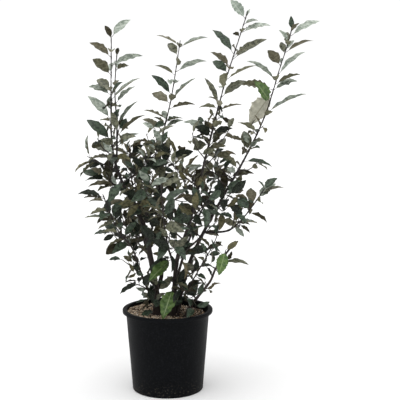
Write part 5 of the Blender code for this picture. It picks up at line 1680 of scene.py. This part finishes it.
# %% Chips and crumbs
# Each tone's share on the left side and on the darker right side, and its two colours
CHIPS = {
    "tan": ((0.44, 0.16), (0.580, 0.440, 0.300), (0.920, 0.770, 0.590)),
    "brown": ((0.27, 0.28), (0.180, 0.116, 0.068), (0.390, 0.275, 0.182)),
    "dark": ((0.23, 0.53), (0.012, 0.009, 0.007), (0.052, 0.037, 0.026)),
    "grey": ((0.06, 0.03), (0.580, 0.540, 0.480), (0.820, 0.780, 0.720)),
}
CHIP_COUNT = 6000
CHIP_LONG = (0.0012, 0.0030)
DARK_SIDE_FROM = 0.005
DARK_SIDE_BLUR = 0.02
CHIP_BROAD = (0.35, 0.85)
CHIP_FLAT = (0.25, 0.55)
CHIP_TILT = 0.35
CHIP_LIFT = 0.35
CHIP_REACH = 0.1185
CHIP_BUMPS = (0.72, 1.15)
CHIP_RELIEF = 0.0005
CHIP_SHARP = math.radians(30.0)
STEM_ROOM = 1.7


def crumb():
    """A rough twenty-sided crumb, two units long."""
    bm = bmesh.new()
    bmesh.ops.create_icosphere(bm, subdivisions=1, radius=1.0)
    rng = random.Random(f"{SEED} crumb")
    for vert in bm.verts:
        vert.co *= rng.uniform(*CHIP_BUMPS)
    points, faces = shape_of(bm)
    return np.array(points), faces


def chip_places():
    """A turn and size, and a place, for one chip after another, clear of the stems."""
    rng = random.Random(f"{SEED} chips")
    feet = []
    for name, limb in LIMBS.items():
        if limb.carrier == "soil":
            distance = lines[name].at_height(SOIL_TOP)
            feet.append((lines[name].at(distance)[0], lines[name].radius(distance)))
    while True:
        radius = CHIP_REACH * math.sqrt(rng.random())
        angle = rng.uniform(0.0, 2 * math.pi)
        x, y = radius * math.cos(angle), radius * math.sin(angle)
        long = rng.uniform(*CHIP_LONG)
        sizes = (long, long * rng.uniform(*CHIP_BROAD), long * rng.uniform(*CHIP_FLAT))
        turn = Matrix.Rotation(rng.uniform(0.0, 2 * math.pi), 3, "Z")
        for axis in ("Y", "X"):
            turn = turn @ Matrix.Rotation(rng.gauss(0.0, CHIP_TILT), 3, axis)
        if any(math.hypot(x - foot.x, y - foot.y) < size * STEM_ROOM + long for foot, size in feet):
            continue
        place = (x, y, ground_height(x, y) + sizes[2] * CHIP_LIFT)
        yield np.array(turn) * np.array(sizes), np.array(place)


points, faces = crumb()
places = chip_places()
rng = random.Random(f"{SEED} tones")
chips = {tone: [] for tone in CHIPS}
for _ in range(CHIP_COUNT):
    turn_and_size, place = next(places)
    # Chips right of a blurred line get more of the dark tones, so the soil is darker towards the right
    on_dark_side = place[0] > DARK_SIDE_FROM + rng.gauss(0.0, DARK_SIDE_BLUR)
    tone = rng.choices(list(CHIPS), [shares[on_dark_side] for shares, dark, light in CHIPS.values()])[0]
    chips[tone].append(points @ turn_and_size.T + place)
for tone, (shares, dark, light) in CHIPS.items():
    finish = soil_finish("bark_chip_" + tone, dark, light, CHIP_RELIEF)
    mesh = joined("bark_chips_" + tone, chips[tone], faces)
    show("bark_chips_" + tone, mesh, [finish], ["soil"], CHIP_SHARP)

# %% [markdown]
# ## Floor, light and camera
# The plant stands on a pale floor in soft light from above: one wide sun, so that its shadow is
# only a soft darkening round the pot, and a plain bright sky that fills it in. The camera looks
# a little down from about three metres, as the pot's rim and base show, through a long lens.

# %% The stage
FLOOR_SIZE = 40.0
SUN_STRENGTH = 2.6
SUN_WIDTH = math.radians(85.0)
SUN_TURN = (math.radians(10.0), math.radians(-5.0), 0.0)
SKY_FALL = {"From Min": 0.08, "From Max": 0.20, "To Min": 1.05, "To Max": 0.55}


def pale_floor():
    """A floor that is almost white, with the faintest clouds."""
    finish = Finish("pale_floor", specular=0.1)
    clouds = finish.noise(0.4, 2.0)
    return finish.wear(colour=finish.mix(clouds, (0.86, 0.86, 0.86), (0.90, 0.90, 0.90)),
                       roughness=0.8 + clouds * 0.1)


bm = bmesh.new()
bmesh.ops.create_grid(bm, x_segments=1, y_segments=1, size=FLOOR_SIZE)
floor = put_in_scene("floor", mesh_of(bm, "floor"))
floor.data.materials.append(pale_floor())

scene = bpy.context.scene
scene.view_settings.view_transform = "Standard"
world = bpy.data.worlds.new("pale studio")
world.use_nodes = True
nodes, links = world.node_tree.nodes, world.node_tree.links
direction = nodes.new("ShaderNodeTexCoord")
height = nodes.new("ShaderNodeSeparateXYZ")
fall = nodes.new("ShaderNodeMapRange")
for key, value in SKY_FALL.items():
    fall.inputs[key].default_value = value
links.new(direction.outputs["Generated"], height.inputs[0])
links.new(height.outputs["Z"], fall.inputs["Value"])
links.new(fall.outputs["Result"], nodes["Background"].inputs["Strength"])
nodes["Background"].inputs["Color"].default_value = (1.0, 1.0, 1.0, 1.0)
scene.world = world

lamp = bpy.data.lights.new("soft light", "SUN")
lamp.energy = SUN_STRENGTH
lamp.angle = SUN_WIDTH
put_in_scene("soft light", lamp).rotation_euler = SUN_TURN

# %% The camera, and the solid model's box printed
camera_data = bpy.data.cameras.new("camera")
camera_data.sensor_width = 36.0
camera_data.lens = CAMERA_FOCUS * camera_data.sensor_width / (2.0 * PHOTO_MIDDLE)
camera_data.clip_end = 200.0
camera = put_in_scene("camera", camera_data)
camera.location = CAMERA
camera.rotation_euler = (math.radians(90.0) - CAMERA_PITCH, 0.0, 0.0)
scene.camera = camera

print("solid", [[round(x, 4) for x in corner] for corner in cad_box])
